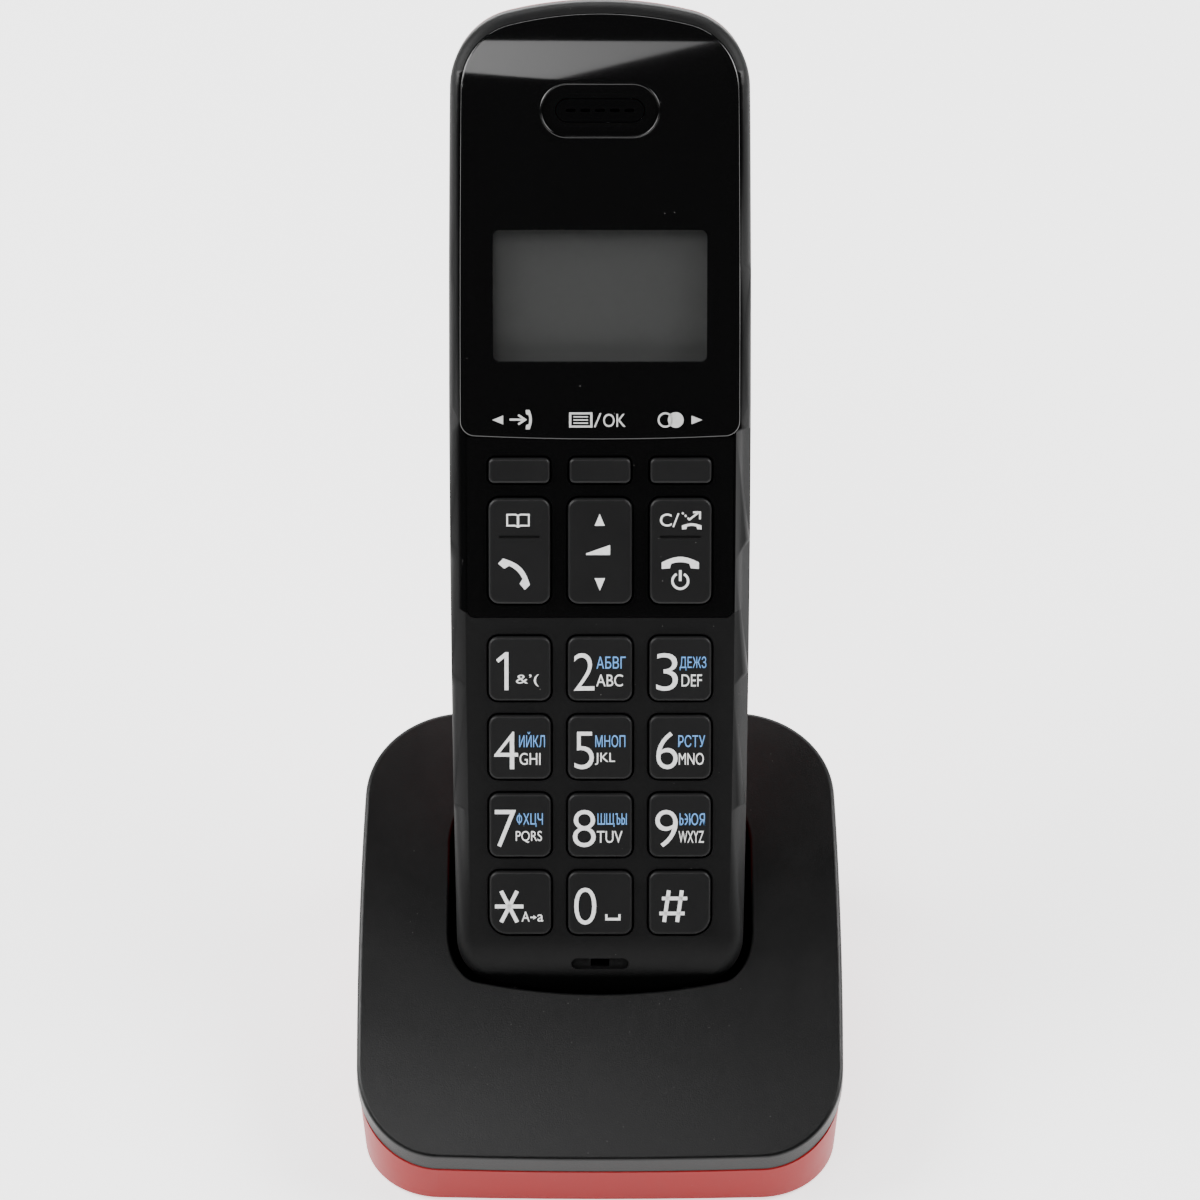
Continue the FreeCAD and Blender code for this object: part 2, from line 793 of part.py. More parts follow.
def stretched():
    """The base's plan drawn on the tilted plane, where it is longer by the slope."""
    slope = f"{DECK_CHORD} / base_depth"
    return dict(
        BASE_PLAN, low=f"-base_depth / 2 * {slope}", high=f"base_depth / 2 * {slope}",
        middle=f"base_widest * {slope}",
    )


def base_housing():
    body = new_body("base_housing")
    floor = sketch(body, "XY_Plane", "foot_height")
    soft_outline(floor, BASE_PLAN, "housing_foot_inset")
    top = sketch(body, "XY_Plane", turned=tilted_top("-4"))
    soft_outline(top, stretched(), "housing_top_inset")
    loft(body, [floor, top])
    inner_floor = sketch(body, "XY_Plane", "foot_height + housing_wall")
    soft_outline(inner_floor, BASE_PLAN, "housing_foot_inset + housing_wall")
    inner_top = sketch(body, "XY_Plane", turned=tilted_top("-4"))
    soft_outline(inner_top, stretched(), "housing_top_inset + housing_wall")
    loft(body, [inner_floor, inner_top], subtract=True)
    pads = sketch(body, "XY_Plane", "foot_height + housing_wall")
    for x in ("-boss_spread_x", "boss_spread_x"):
        for y in ("boss_front", "boss_rear"):
            circle(pads, x, y, "boss_radius + 1")
    pad(body, pads, "0.6")
    posts = sketch(body, "XY_Plane", "foot_height + housing_wall - 0.2")
    for x in ("-board_width / 2 + 4", "board_width / 2 - 4"):
        for y in ("board_front + 4", "board_rear - 16"):
            circle(posts, x, y, "2")
    pad(body, posts, "board_height - foot_height - housing_wall + 0.2")
    pocket(body, above_deck(body, "rim_thickness + seam_gap"), None, both=True)
    for radius, depth in (
        ("screw_head + 0.3", "screw_head_height + 0.1"), ("screw_shank + screw_play", "housing_wall + 2"),
    ):
        holes = sketch(body, "XY_Plane", "foot_height")
        for x in ("-boss_spread_x", "boss_spread_x"):
            for y in ("boss_front", "boss_rear"):
                circle(holes, x, y, radius)
        pocket(body, holes, depth, reverse=True)
    seats = sketch(body, "XY_Plane", "foot_height")
    for x in ("-foot_spread_x / 2", "foot_spread_x / 2"):
        for y in ("-foot_spread_y", "foot_spread_y"):
            circle(seats, x, y, "foot_radius + 0.1")
    pocket(body, seats, "foot_recess", reverse=True)
    ports = sketch(body, "XZ_Plane", "-base_depth / 2 - 5")
    rectangle(
        ports, "line_jack_x", "board_height + board_thickness + line_jack_height / 2",
        "line_jack_width + 2 * port_gap", "line_jack_height + 2 * port_gap",
    )
    rectangle(
        ports, "power_jack_x", "board_height + board_thickness + power_jack_height / 2",
        "power_jack_width + 2 * port_gap", "power_jack_height + 2 * port_gap",
    )
    pocket(body, ports, "base_depth / 2 + 5 - socket_face + 2", reverse=True)
    return in_base(body, "base_housing")


def base_feet():
    feet = []
    for x in ("-foot_spread_x / 2", "foot_spread_x / 2"):
        for y in ("-foot_spread_y", "foot_spread_y"):
            feet.append(rod("foot", "foot_radius", "foot_height + foot_recess", (x, y, "0")))
    return in_base(grouped("base_feet", feet), "base_feet")


def base_screws():
    screws = []
    for x in ("-boss_spread_x", "boss_spread_x"):
        for y in ("boss_front", "boss_rear"):
            head = rod("head", "screw_head", "screw_head_height", (x, y, "foot_height + 0.1"))
            shank = rod("shank", "screw_shank", "screw_length", (x, y, "foot_height + 0.1"))
            cross = block("cross", x, f"{y} - 0.3", "foot_height", "2.4", "0.6", "0.8")
            other = block("cross", x, f"{y} - 1.2", "foot_height", "0.6", "2.4", "0.8")
            screws.append(cut("screw", joined("blank", [head, shank]), joined("recess", [cross, other])))
    return in_base(grouped("base_screws", screws), "base_screws")


def base_board():
    body = new_body("base_circuit_board")
    made = sketch(body, "XY_Plane", "board_height")
    rounded(made, "0", "(board_front + board_rear) / 2", "board_width", "board_rear - board_front", "1.5")
    pad(body, made, "board_thickness")
    chips = sketch(body, "XY_Plane", "board_height + board_thickness")
    rounded(chips, "-10", "-14", "12", "12", "0.5")
    rounded(chips, "9", "-18", "8", "6", "0.5")
    pad(body, chips, "1.2")
    return in_base(body, "base_circuit_board")


def jack_front():
    return "board_height + board_thickness"


def line_jack():
    body = new_body("line_jack")
    made = sketch(body, "XZ_Plane", "-socket_face")
    middle = "board_height + board_thickness + line_jack_height / 2"
    rectangle(made, "line_jack_x", middle, "line_jack_width", "line_jack_height")
    pad(body, made, "line_jack_length")
    port = sketch(body, "XZ_Plane", "-socket_face")
    rectangle(port, "line_jack_x", middle, "line_port_width", "line_port_height")
    pocket(body, port, "line_port_depth", reverse=True)
    latch = sketch(body, "XZ_Plane", "-socket_face")
    rectangle(latch, "line_jack_x", f"{middle} - line_port_height / 2 - 0.5", "3.4", "1.6")
    pocket(body, latch, "line_port_depth", reverse=True)
    wires = sketch(body, "XZ_Plane", "-socket_face + 2")
    for step in range(4):
        across = f"line_jack_x + {1.02 * (step - 1.5):.2f}"
        rectangle(wires, across, f"{middle} + line_port_height / 2 - 0.4", "0.5", "0.9")
    pad(body, wires, "line_port_depth - 2")
    return in_base(body, "line_jack")


def power_jack():
    body = new_body("power_jack")
    middle = "board_height + board_thickness + power_jack_height / 2"
    made = sketch(body, "XZ_Plane", "-socket_face")
    rounded(made, "power_jack_x", middle, "power_jack_width", "power_jack_height", "1")
    pad(body, made, "power_jack_length")
    port = sketch(body, "XZ_Plane", "-socket_face")
    circle(port, "power_jack_x", middle, "power_port_radius")
    pocket(body, port, "power_port_depth", reverse=True)
    centre = sketch(body, "XZ_Plane", "-socket_face + 1")
    circle(centre, "power_jack_x", middle, "power_pin_radius")
    pad(body, centre, "power_port_depth - 1")
    return in_base(body, "power_jack")


def charge_terminal(label, x):
    """Sprung strip that stands through the well's floor, drawn in the handset's frame."""
    body = new_body(label)
    tip = f"{pad_level()} - 0.05"
    blade = sketch(body, "XZ_Plane", neg("terminal_depth - terminal_width / 2"))
    reach = f"({tip} + terminal_stand)"
    rounded(blade, x, f"{tip} - {reach} / 2", "terminal_thickness", reach, "terminal_thickness / 2.2")
    pad(body, blade, "terminal_width", reverse=True)
    foot = sketch(body, "XZ_Plane", neg("terminal_depth - terminal_width / 2"))
    rectangle(foot, x, "-terminal_stand + 0.3", "terminal_width", "0.6")
    pad(body, foot, "terminal_width", reverse=True)
    return in_handset(body, label)


def pad_level():
    """Underside of the handset's charge pads, up from its bottom end."""
    return "(terminal_spread ^ 2 / (2 * case_chin_radius) + charge_pad_sink)"


def locator_button():
    body = new_body("locator_button")
    cap = sketch(body, "XY_Plane", "-rim_thickness - 0.2")
    rounded(cap, "0", "0", "locator_width", "locator_height", "locator_corner")
    pad(body, cap, "rim_thickness + 0.2 + locator_proud")
    dress("Fillet", body, on_rim(Vector(0, 0, 1), lambda p: p.z > 0), "locator_proud * 0.6")
    flange = sketch(body, "XY_Plane", "-rim_thickness - 0.2")
    rounded(
        flange, "0", "0", "locator_width + 2 * locator_flange", "locator_height + 2 * locator_flange",
        "locator_corner + locator_flange",
    )
    pad(body, flange, "0.9", reverse=True)
    body.Placement = locator_place()
    return in_base(body, "locator_button")


def locator_switch():
    """Tact switch on a riser under the button."""
    top = "-rim_thickness - 1.1 - locator_travel - 0.2"
    body = block("switch_body", "0", "-3", f"{top} - 3", "6", "6", "2.4")
    plunger = rod("switch_plunger", "1.6", "0.8", ("0", "0", f"{top} - 0.8"))
    riser = block("switch_riser", "0", "-1", f"{top} - 8", "5", "2", "5.4")
    made = joined("locator_switch", [body, plunger, riser])
    made.Placement = locator_place()
    return in_base(made, "locator_switch")


def base_antennas():
    """Two bent strips that stand on the board's front corners."""
    strips = []
    for side in ("-1", "1"):
        x = f"{side} * (board_width / 2 - 1.5)"
        foot = block("antenna", x, "board_front + 9", jack_front(), "0.6", "1.6", "6")
        arm = block("antenna", x, "board_front + 9", f"{jack_front()} + 5.4", "0.6", "12", "0.6")
        strips.append(joined("antenna", [foot, arm]))
    return in_base(grouped("base_antennas", strips), "base_antennas")


# --- handset: shells ---

def face_edge(inset="0"):
    """Corners of the face from crown to chin, for a contour from the side: x is depth."""
    crown, chin = "case_length + 2", "-1"
    return [
        (face_depth(crown, inset), crown, f"crown_roll - ({inset})", 1),
        (inset, "crown_roll_start"),
        (inset, "chin_roll_start", f"chin_roll - ({inset})", 1),
        (face_depth(chin, inset), chin),
    ]


def front_case():
    body = new_body("front_case")
    side = sketch(body, "YZ_Plane")
    contour(side, face_edge() + [("parting", "-1"), ("parting", "case_length + 2")])
    pad(body, side, "case_width + 6", both=True)
    outside(body, sketch(body, "XZ_Plane"), CASE_PLAN, "0", "case_length * 3")
    dress("Fillet", body, on_rim(BACKWARD, lambda p: p.y < value("parting - 0.1")), "front_round")
    ends = sketch(body, "XZ_Plane", "-parting")
    soft_outline(ends, CASE_PLAN, "case_wall")
    pocket(body, ends, "parting - end_depth", reverse=True)
    cavity = sketch(body, "XZ_Plane", "-parting")
    rounded(
        cavity, "0", "(face_cavity_low + face_cavity_high) / 2", "case_width - 2 * case_wall - 0.8",
        "face_cavity_high - face_cavity_low", "6",
    )
    pocket(body, cavity, "parting - face_wall", reverse=True)
    bosses = sketch(body, "XZ_Plane", "-face_wall + 0.2")
    for x in ("-case_screw_x", "case_screw_x"):
        circle(bosses, x, "case_screw_z", "case_boss_radius")
    pad(body, bosses, "parting - face_wall - 0.6", reverse=True)
    seat = body.newObject("PartDesign::Boolean", "faceplate_seat")
    seat.Type = "Cut"
    seat.addObject(plate_blank("faceplate_space", "plate_gap"))
    panel = sketch(body, "XZ_Plane")
    panel_outline(panel, "plate_low + 3", "plate_gap")
    pocket(body, panel, "panel_depth + plate_gap")
    key_openings(body, ("number", "rocker", "soft"), "face_wall + 3")
    opening = sketch(body, "XZ_Plane", "1")
    rectangle(opening, "0", "window_middle", "window_width + 1.6", "window_height + 1.6")
    obround(opening, "0", "earpiece_middle", "grille_width + 0.8", "grille_height + 0.8")
    pocket(body, opening, "end_depth + 3")
    dish = sketch(body, "XZ_Plane", "1")
    obround(dish, "0", "mouth_middle", "mouth_width", "mouth_height")
    pocket(body, dish, f"{face_depth('mouth_middle')} + 1.9")
    mouth = sketch(body, "XZ_Plane", "1")
    rectangle(mouth, "0", "mouth_middle", "mouth_slot", "mouth_height * 0.6")
    pocket(body, mouth, "end_depth + 3")
    charge = sketch(body, "XY_Plane", "-1")
    for x in ("-terminal_spread", "terminal_spread"):
        rectangle(charge, x, "terminal_depth", "charge_pad_width + 0.2", "charge_pad_depth + 0.2")
    pocket(body, charge, "case_wall + 6", reverse=True)
    pilot = sketch(body, "XZ_Plane", "-parting")
    for x in ("-case_screw_x", "case_screw_x"):
        circle(pilot, x, "case_screw_z", "case_screw_shank + 0.05")
    pocket(body, pilot, "parting - face_wall - 0.5", reverse=True)
    return in_handset(body, "front_case")


def panel_outline(made, high, grow="0"):
    """The glossy panel round the function keys, from its low edge up to high."""
    rounded(
        made, "0", f"(panel_low + {high}) / 2", f"case_width - 2 * (panel_inset - {grow})",
        f"{high} - panel_low + 2 * {grow}", f"panel_corner + {grow}",
    )


def plate_blank(label, grow="0"):
    """The plate over the upper face, which follows the crown's roll, grown at its back and sides."""
    body = new_body(label)
    side = sketch(body, "YZ_Plane")
    low, high, back = "plate_low - 3", "case_length + 2", f"plate_depth + {grow}"
    contour(side, [
        (face_depth(high, "-plate_proud"), high, "crown_roll + plate_proud", 1),
        ("-plate_proud", "crown_roll_start"),
        ("-plate_proud", low),
        (back, low),
        (back, "crown_roll_start", f"crown_roll - ({back})", -1),
        (face_depth(high, back), high),
    ])
    pad(body, side, "case_width + 6", both=True)
    outside(body, sketch(body, "XZ_Plane"), plate_plan("plate_low"), f"plate_inset - {grow}", "case_length * 3")
    return body


def display_faceplate():
    body = plate_blank("display_faceplate")
    window = sketch(body, "XZ_Plane", "2")
    rounded(window, "0", "window_middle", "window_width", "window_height", "window_corner")
    pocket(body, window, "6")
    dish = sketch(body, "XZ_Plane", "2")
    obround(dish, "0", "earpiece_middle", "earpiece_width", "earpiece_height")
    pocket(body, dish, "2 - plate_proud + earpiece_dish")
    through = sketch(body, "XZ_Plane", "2")
    obround(through, "0", "earpiece_middle", "grille_width + 2 * grille_gap", "grille_height + 2 * grille_gap")
    pocket(body, through, "6")
    front = lambda p: p.y < value(face_depth(f"{p.z:.6f}")) + 0.1 if p.z > value("crown_roll_start") else p.y < 0
    beside, above = value("window_width / 2 + 2"), value("window_height / 2 + 5.5")
    rim = lambda p: front(p) and (abs(p.x) > beside or abs(p.z - value("window_middle")) > above)
    outer = lambda p: rim(p) and (abs(p.x) > 14 or abs(p.z - value("earpiece_middle")) > 9)
    dress("Fillet", body, on_rim(BACKWARD, outer), "0.3")
    return in_handset(body, "display_faceplate")


def display_window():
    body = new_body("display_window")
    made = sketch(body, "XZ_Plane", "plate_proud - window_sink")
    rounded(
        made, "0", "window_middle", "window_width - 0.06", "window_height - 0.06", "window_corner",
    )
    pad(body, made, "window_thickness", reverse=True)
    return in_handset(body, "display_window")


def function_panel():
    body = new_body("function_panel")
    made = sketch(body, "XZ_Plane")
    panel_outline(made, "plate_low + 3")
    pad(body, made, "panel_depth", reverse=True)
    under = sketch(body, "XZ_Plane", "1")
    wide = "case_width / 2 + 2"
    edge = f"(plate_low - plate_gap + plate_low_radius - sqrt(plate_low_radius ^ 2 - ({wide}) ^ 2))"
    contour(under, [
        (neg(wide), edge, "plate_low_radius", 1), (wide, edge), (wide, "plate_low + 9"),
        (neg(wide), "plate_low + 9"),
    ])
    pocket(body, under, "5")
    key_openings(body, ("rocker", "soft"), "5")
    return in_handset(body, "function_panel")


def rear_case():
    body = new_body("rear_case")
    side = sketch(body, "YZ_Plane")
    low, high, start = "-2", "case_length + 2", "parting + case_seam"
    contour(side, [
        (start, low), (back_depth(low), low, "back_radius", 1), (back_depth(high), high), (start, high),
    ])
    pad(body, side, "case_width + 6", both=True)
    outside(body, sketch(body, "XZ_Plane"), CASE_PLAN, "0", "case_length * 3")
    dress("Fillet", body, on_rim(BACKWARD, lambda p: p.y > value("parting + 0.4")), "rear_round")
    ends = sketch(body, "XZ_Plane", neg(start))
    soft_outline(ends, CASE_PLAN, "case_wall + 0.2")
    pocket(body, ends, "3.6")
    cavity = sketch(body, "YZ_Plane")
    low, high, layer = "15", "case_length - 16", "cover_thickness + cover_floor_gap + 1.4"
    contour(cavity, [
        (start, low), (back_depth(low, layer), low, f"back_radius - ({layer})", 1),
        (back_depth(high, layer), high), (start, high),
    ])
    pocket(body, cavity, "case_width - 2 * rear_round + 4", both=True)
    bay = sketch(body, "XZ_Plane", neg("bay_floor - bay_wall"))
    bay_middle = "(bay_low + bay_high) / 2"
    rectangle(bay, "0", bay_middle, "bay_width + 2 * bay_wall", "bay_high - bay_low + 2 * bay_wall")
    pad(body, bay, "case_thickness - bay_floor + bay_wall - cover_thickness - 1", reverse=True)
    bosses = sketch(body, "XZ_Plane", neg(start))
    for x in ("-case_screw_x", "case_screw_x"):
        circle(bosses, x, "case_screw_z", "case_boss_radius")
    pad(body, bosses, f"case_thickness - ({start}) - cover_thickness - 1", reverse=True)
    recess = sketch(body, "YZ_Plane")
    low, high = "cover_low - cover_slide - cover_gap - 0.5", "cover_high + cover_gap"
    layer = "cover_thickness + cover_floor_gap"
    contour(recess, [
        (back_depth(low, layer), low, f"back_radius - ({layer})", 1), (back_depth(high, layer), high),
        ("case_thickness + 5", high), ("case_thickness + 5", low),
    ])
    pocket(body, recess, "cover_width + 2 * cover_gap", both=True)
    well = sketch(body, "XZ_Plane", neg("bay_floor"))
    rectangle(well, "0", bay_middle, "bay_width", "bay_high - bay_low")
    pocket(body, well, None)
    for radius, deep in (("case_screw_shank + 0.1", "20"), ("case_screw_head + 0.1", "4.2")):
        bore = sketch(body, "XZ_Plane", neg("case_thickness + 0.5"))
        for x in ("-case_screw_x", "case_screw_x"):
            circle(bore, x, "case_screw_z", radius)
        pocket(body, bore, deep, reverse=True)
    sound = sketch(body, "XZ_Plane", neg("case_thickness + 1"))
    for row_step in range(3):
        obround(sound, "0", f"ringer_middle + {2.6 * (row_step - 1):.1f}", f"{9 - 2 * abs(row_step - 1)}", "1.1")
    pocket(body, sound, "8", reverse=True)
    return in_handset(body, "rear_case")


def battery_cover():
    body = new_body("battery_cover")
    side = sketch(body, "YZ_Plane")
    contour(side, [
        (back_depth("cover_low"), "cover_low", "back_radius", 1), (back_depth("cover_high"), "cover_high"),
        (back_depth("cover_high", "cover_thickness"), "cover_high", "back_radius - cover_thickness", -1),
        (back_depth("cover_low", "cover_thickness"), "cover_low"),
    ])
    pad(body, side, "cover_width", both=True)
    dress("Fillet", body, lambda edge, shape: is_depth_edge(edge), "cover_corner")
    grip = sketch(body, "XZ_Plane", neg("case_thickness - 1"))
    for step in range(4):
        obround(grip, "0", f"cover_high - {6 + 2.2 * step:.1f}", f"{12 - step}", "0.9")
    pad(body, grip, f"{back_depth('cover_high - 9')} - case_thickness + 1 + cover_rib", reverse=True)
    return in_handset(body, "battery_cover")


def is_depth_edge(edge):
    """Short straight edges that run through a plate's thickness."""
    return edge.Length < value("cover_thickness * 1.2") and abs(edge.tangentAt(edge.FirstParameter).y) > 0.9


# --- handset: keys ---

def key_places():
    """Where each key sits and how large it is."""
    places = []
    for line in range(4):
        for column, x in enumerate(COLUMNS):
            number = 3 * (3 - line) + column + 1
            label = {10: "key_star", 11: "key_0", 12: "key_hash"}.get(number, f"key_{number}")
            special = {"key_star": {0: "key_outer_corner"}, "key_hash": {1: "key_outer_corner"}}.get(label)
            places.append({
                "label": label, "kind": "number", "x": x, "z": f"key_low_row + {line} * key_pitch_z",
                "width": "key_middle_width" if column == 1 else "key_width", "height": "key_height",
                "corner": "key_corner", "special": special,
            })
    for column, (side, x) in enumerate(zip(("left", "middle", "right"), COLUMNS)):
        places.append({
            "label": f"soft_key_{side}", "kind": "soft", "x": x, "z": "soft_key_row",
            "width": "soft_key_width", "height": "soft_key_height", "corner": "soft_key_corner", "special": None,
        })
        places.append({
            "label": ("talk_rocker", "volume_rocker", "hangup_rocker")[column], "kind": "rocker", "x": x,
            "z": "rocker_row", "width": "rocker_middle_width" if column == 1 else "rocker_width",
            "height": "rocker_height", "corner": "rocker_corner", "special": None,
        })
    return places


def key_hole(made, place, gap):
    special = {n: f"{rule} + {gap}" for n, rule in (place["special"] or {}).items()}
    rounded(
        made, place["x"], place["z"], f"{place['width']} + 2 * ({gap})", f"{place['height']} + 2 * ({gap})",
        f"{place['corner']} + {gap}", special,
    )


def key_openings(body, kinds, depth):
    """Openings for the keys of those kinds, a row at a time."""
    places = [place for place in key_places() if place["kind"] in kinds]
    for level in dict.fromkeys(place["z"] for place in places):
        holes = sketch(body, "XZ_Plane", "1")
        for place in places:
            if place["z"] == level:
                key_hole(holes, place, "key_gap")
        pocket(body, holes, depth)


def key(place):
    body = new_body(place["label"])
    cap = sketch(body, "XZ_Plane", "key_proud")
    key_hole(cap, place, "0")
    pad(body, cap, "key_proud + key_depth", reverse=True)
    dress("Fillet", body, on_rim(BACKWARD, lambda p: p.y < 0), "key_edge")
    start = "rocker_flange_depth" if place["kind"] == "rocker" else "key_flange_depth"
    flange = sketch(body, "XZ_Plane", neg(start))
    key_hole(flange, place, "key_flange")
    pad(body, flange, f"key_depth - {start}", reverse=True)
    if place["kind"] == "rocker" and place["x"] != "0":
        line = sketch(body, "XZ_Plane", "key_proud")
        obround(line, place["x"], "rocker_line_row", "rocker_line_width", "rocker_line_height")
        pocket(body, line, "rocker_line_depth")
    return in_handset(body, place["label"])


def keypad_mat():
    body = new_body("keypad_mat")
    made = sketch(body, "XZ_Plane", neg("mat_sheet"))
    low, high = "key_low_row - key_height / 2 - 0.75", "soft_key_row + soft_key_height / 2 + 1.5"
    rounded(made, "0", f"({low} + {high}) / 2", "key_pitch_x * 2 + key_width + 1.4", f"{high} - ({low})", "2")
    pad(body, made, "handset_board_front - mat_sheet", reverse=True)
    domes = sketch(body, "XZ_Plane", neg("mat_front"))
    for place in key_places():
        if place["kind"] == "rocker":
            for step in ("-5.2", "5.2"):
                circle(domes, place["x"], f"{place['z']} + {step}", "mat_dome / 2")
        else:
            circle(domes, place["x"], place["z"], "mat_dome / 2")
    pad(body, domes, "mat_sheet - mat_front + 0.1", reverse=True)
    return in_handset(body, "keypad_mat")


# --- handset: inside ---

def handset_board():
    body = new_body("handset_circuit_board")
    made = sketch(body, "XZ_Plane", neg("handset_board_front"))
    low, high = "handset_board_low", "handset_board_high"
    rounded(made, "0", f"({low} + {high}) / 2", "handset_board_width", f"{high} - {low}", "3")
    pad(body, made, "handset_board_thickness", reverse=True)
    chips = sketch(body, "XZ_Plane", neg("handset_board_front + handset_board_thickness"))
    rounded(chips, "-8", "112", "11", "11", "0.4")
    rounded(chips, "9", "112", "8", "8", "0.4")
    rounded(chips, "0", "30", "14", "6", "0.4")
    pad(body, chips, "1.4", reverse=True)
    return in_handset(body, "handset_circuit_board")


def display_stack():
    panel = block(
        "lcd_panel", "0", "lcd_front", "window_middle - lcd_height / 2", "lcd_width", "lcd_thickness", "lcd_height"
    )
    in_handset(panel, "lcd_panel")
    light = block(
        "lcd_backlight", "0", "lcd_front + lcd_thickness", "window_middle - lcd_height / 2 - 0.8",
        "lcd_width + 1.6", "backlight_thickness", "lcd_height + 1.6",
    )
    in_handset(light, "lcd_backlight")


def earpiece():
    body = new_body("earpiece_grille")
    made = sketch(body, "XZ_Plane", neg("-plate_proud + earpiece_dish - 0.2"))
    obround(made, "0", "earpiece_middle", "grille_width", "grille_height")
    pad(body, made, "face_wall - 0.2", reverse=True)
    slots = sketch(body, "XZ_Plane", "2")
    for step in range(5):
        obround(slots, f"{2.3 * (step - 2):.1f}", "earpiece_middle", "1.5", "grille_slot")
    pocket(body, slots, "8")
    in_handset(body, "earpiece_grille")
    cup = rod("speaker_cup", "speaker_radius", "2.8", ("0", "end_depth + 0.2", "earpiece_middle - 1.5"), BACKWARD)
    magnet = rod("speaker_magnet", "3.4", "1.2", ("0", "end_depth + 3.0", "earpiece_middle - 1.5"), BACKWARD)
    in_handset(joined("earpiece_speaker", [cup, magnet]), "earpiece_speaker")


def mouthpiece():
    capsule = rod("microphone", "2.0", "1.6", ("0", "end_depth + 0.3", "mouth_middle"), BACKWARD)
    in_handset(capsule, "microphone")
    outer = rod("boot", "2.8", "2.4", ("0", "end_depth + 0.1", "mouth_middle"), BACKWARD)
    inner = rod("boot_bore", "2.0", "3", ("0", "end_depth + 0.3", "mouth_middle"), BACKWARD)
    port = rod("boot_port", "0.6", "2", ("0", "end_depth - 0.5", "mouth_middle"), BACKWARD)
    in_handset(cut("microphone_boot", outer, joined("bores", [inner, port])), "microphone_boot")


def ringer():
    cup = rod("ringer_cup", "ringer_radius", "3", ("0", "15.2", "ringer_middle"), BACKWARD)
    magnet = rod("ringer_magnet", "4", "1.4", ("0", "13.9", "ringer_middle"), BACKWARD)
    in_handset(joined("ringer_speaker", [cup, magnet]), "ringer_speaker")


def batteries():
    for side, x in (("left", "-battery_pitch / 2"), ("right", "battery_pitch / 2")):
        low, nub = ("battery_low", "battery_low + battery_length")
        can = rod("cell", "battery_radius", "battery_length - 0.8", (x, "battery_axis", low))
        cap = rod("cell_cap", "1.9", "0.9", (x, "battery_axis", f"{nub} - 0.85"))
        cell = joined(f"battery_{side}", [can, cap])
        in_handset(cell, f"battery_{side}")


SQUARE = [(-1, -1), (1, -1), (1, 1), (-1, 1), (-1, -1)]


def battery_contacts():
    """Two conical springs at the low end and two plates at the high end of the bay."""
    pieces = []
    for x in ("-battery_pitch / 2", "battery_pitch / 2"):
        plate = block("plate", x, "battery_axis - 3.5", "bay_high - 0.5", "8", "7", "0.4")
        backing = block("backing", x, "battery_axis - 3.5", "bay_low + 0.1", "8", "7", "0.4")
        room = value("battery_low - bay_low - 0.5") - 0.35
        wire = Part.makeHelix(room / 3.2, room - 0.5, 3.2, 12)
        section = Part.makePolygon([Vector(3.2 + 0.25 * x_side, 0, 0.25 * z_side) for x_side, z_side in SQUARE])
        coil = Part.Wire(wire.Edges).makePipeShell([section], True, True)
        spring = doc.addObject("Part::Feature", "spring")
        spring.Shape = coil
        spring.Placement = FreeCAD.Placement(
            Vector(value(x), value("battery_axis"), value("bay_low + 0.5") + 0.31), FreeCAD.Rotation()
        )
        pieces += [plate, backing, spring]
    in_handset(grouped("battery_contacts", pieces), "battery_contacts")


def case_screws():
    screws = []
    for x in ("-case_screw_x", "case_screw_x"):
        top = "case_thickness + 0.5 - 4.2"
        head = rod("head", "case_screw_head", "1.2", (x, top, "case_screw_z"), BACKWARD)
        tip = (x, f"{top} - case_screw_length + 0.5", "case_screw_z")
        shank = rod("shank", "case_screw_shank", "case_screw_length", tip, BACKWARD)
        slot_one = block("slot", x, f"{top} + 0.6", "case_screw_z - 0.2", "1.8", "1", "0.4")
        slot_two = block("slot", x, f"{top} + 0.6", "case_screw_z - 0.9", "0.4", "1", "1.8")
        screws.append(cut("screw", joined("blank", [head, shank]), joined("recess", [slot_one, slot_two])))
    in_handset(grouped("handset_screws", screws), "handset_screws")


def charge_pads():
    pads = []
    for x in ("-terminal_spread", "terminal_spread"):
        pads.append(block(
            "charge_pad", x, "terminal_depth - charge_pad_depth / 2", pad_level(), "charge_pad_width",
            "charge_pad_depth", "charge_pad_thickness",
        ))
    in_handset(grouped("charge_pads", pads), "charge_pads")


# --- the whole telephone ---

def build():
    base_cover()
    base_housing()
    base_feet()
    base_screws()
    base_board()
    line_jack()
    power_jack()
    locator_button()
    locator_switch()
    base_antennas()
    charge_terminal("charge_terminal_left", "-terminal_spread")
    charge_terminal("charge_terminal_right", "terminal_spread")
    front_case()
    display_faceplate()
    display_window()
    function_panel()
    rear_case()
    battery_cover()
    for place in key_places():
        key(place)
    keypad_mat()
    handset_board()
    display_stack()
    earpiece()
    mouthpiece()
    ringer()
    batteries()
    battery_contacts()
    case_screws()
    charge_pads()
    doc.recompute()
    back = FreeCAD.Placement(Vector(0, -value("frame_back"), 0), FreeCAD.Rotation())
    for made in BASE:
        made.Placement = back.multiply(made.Placement)
    for made in HANDSET:
        made.Placement = back.multiply(handset_place()).multiply(made.Placement)
    doc.recompute()


def check_model():
    """Stops on a failed object, or on a pad or pocket that changed nothing."""
    for made in doc.Objects:
        if any(word in made.State for word in ("Invalid", "Error")):
            raise RuntimeError(f"{made.Label} failed: {made.State}")
        if made.isDerivedFrom("PartDesign::Body"):
            before = 0.0
            for feature in (item for item in made.Group if item.isDerivedFrom("PartDesign::Feature")):
                change = feature.Shape.Volume - before
                if "Pocket" in feature.TypeId and change > -1e-3:
                    raise RuntimeError(f"{feature.Name} cuts nothing")
                if "Pad" in feature.TypeId and change < 1e-3:
                    raise RuntimeError(f"{feature.Name} adds nothing")
                before = feature.Shape.Volume


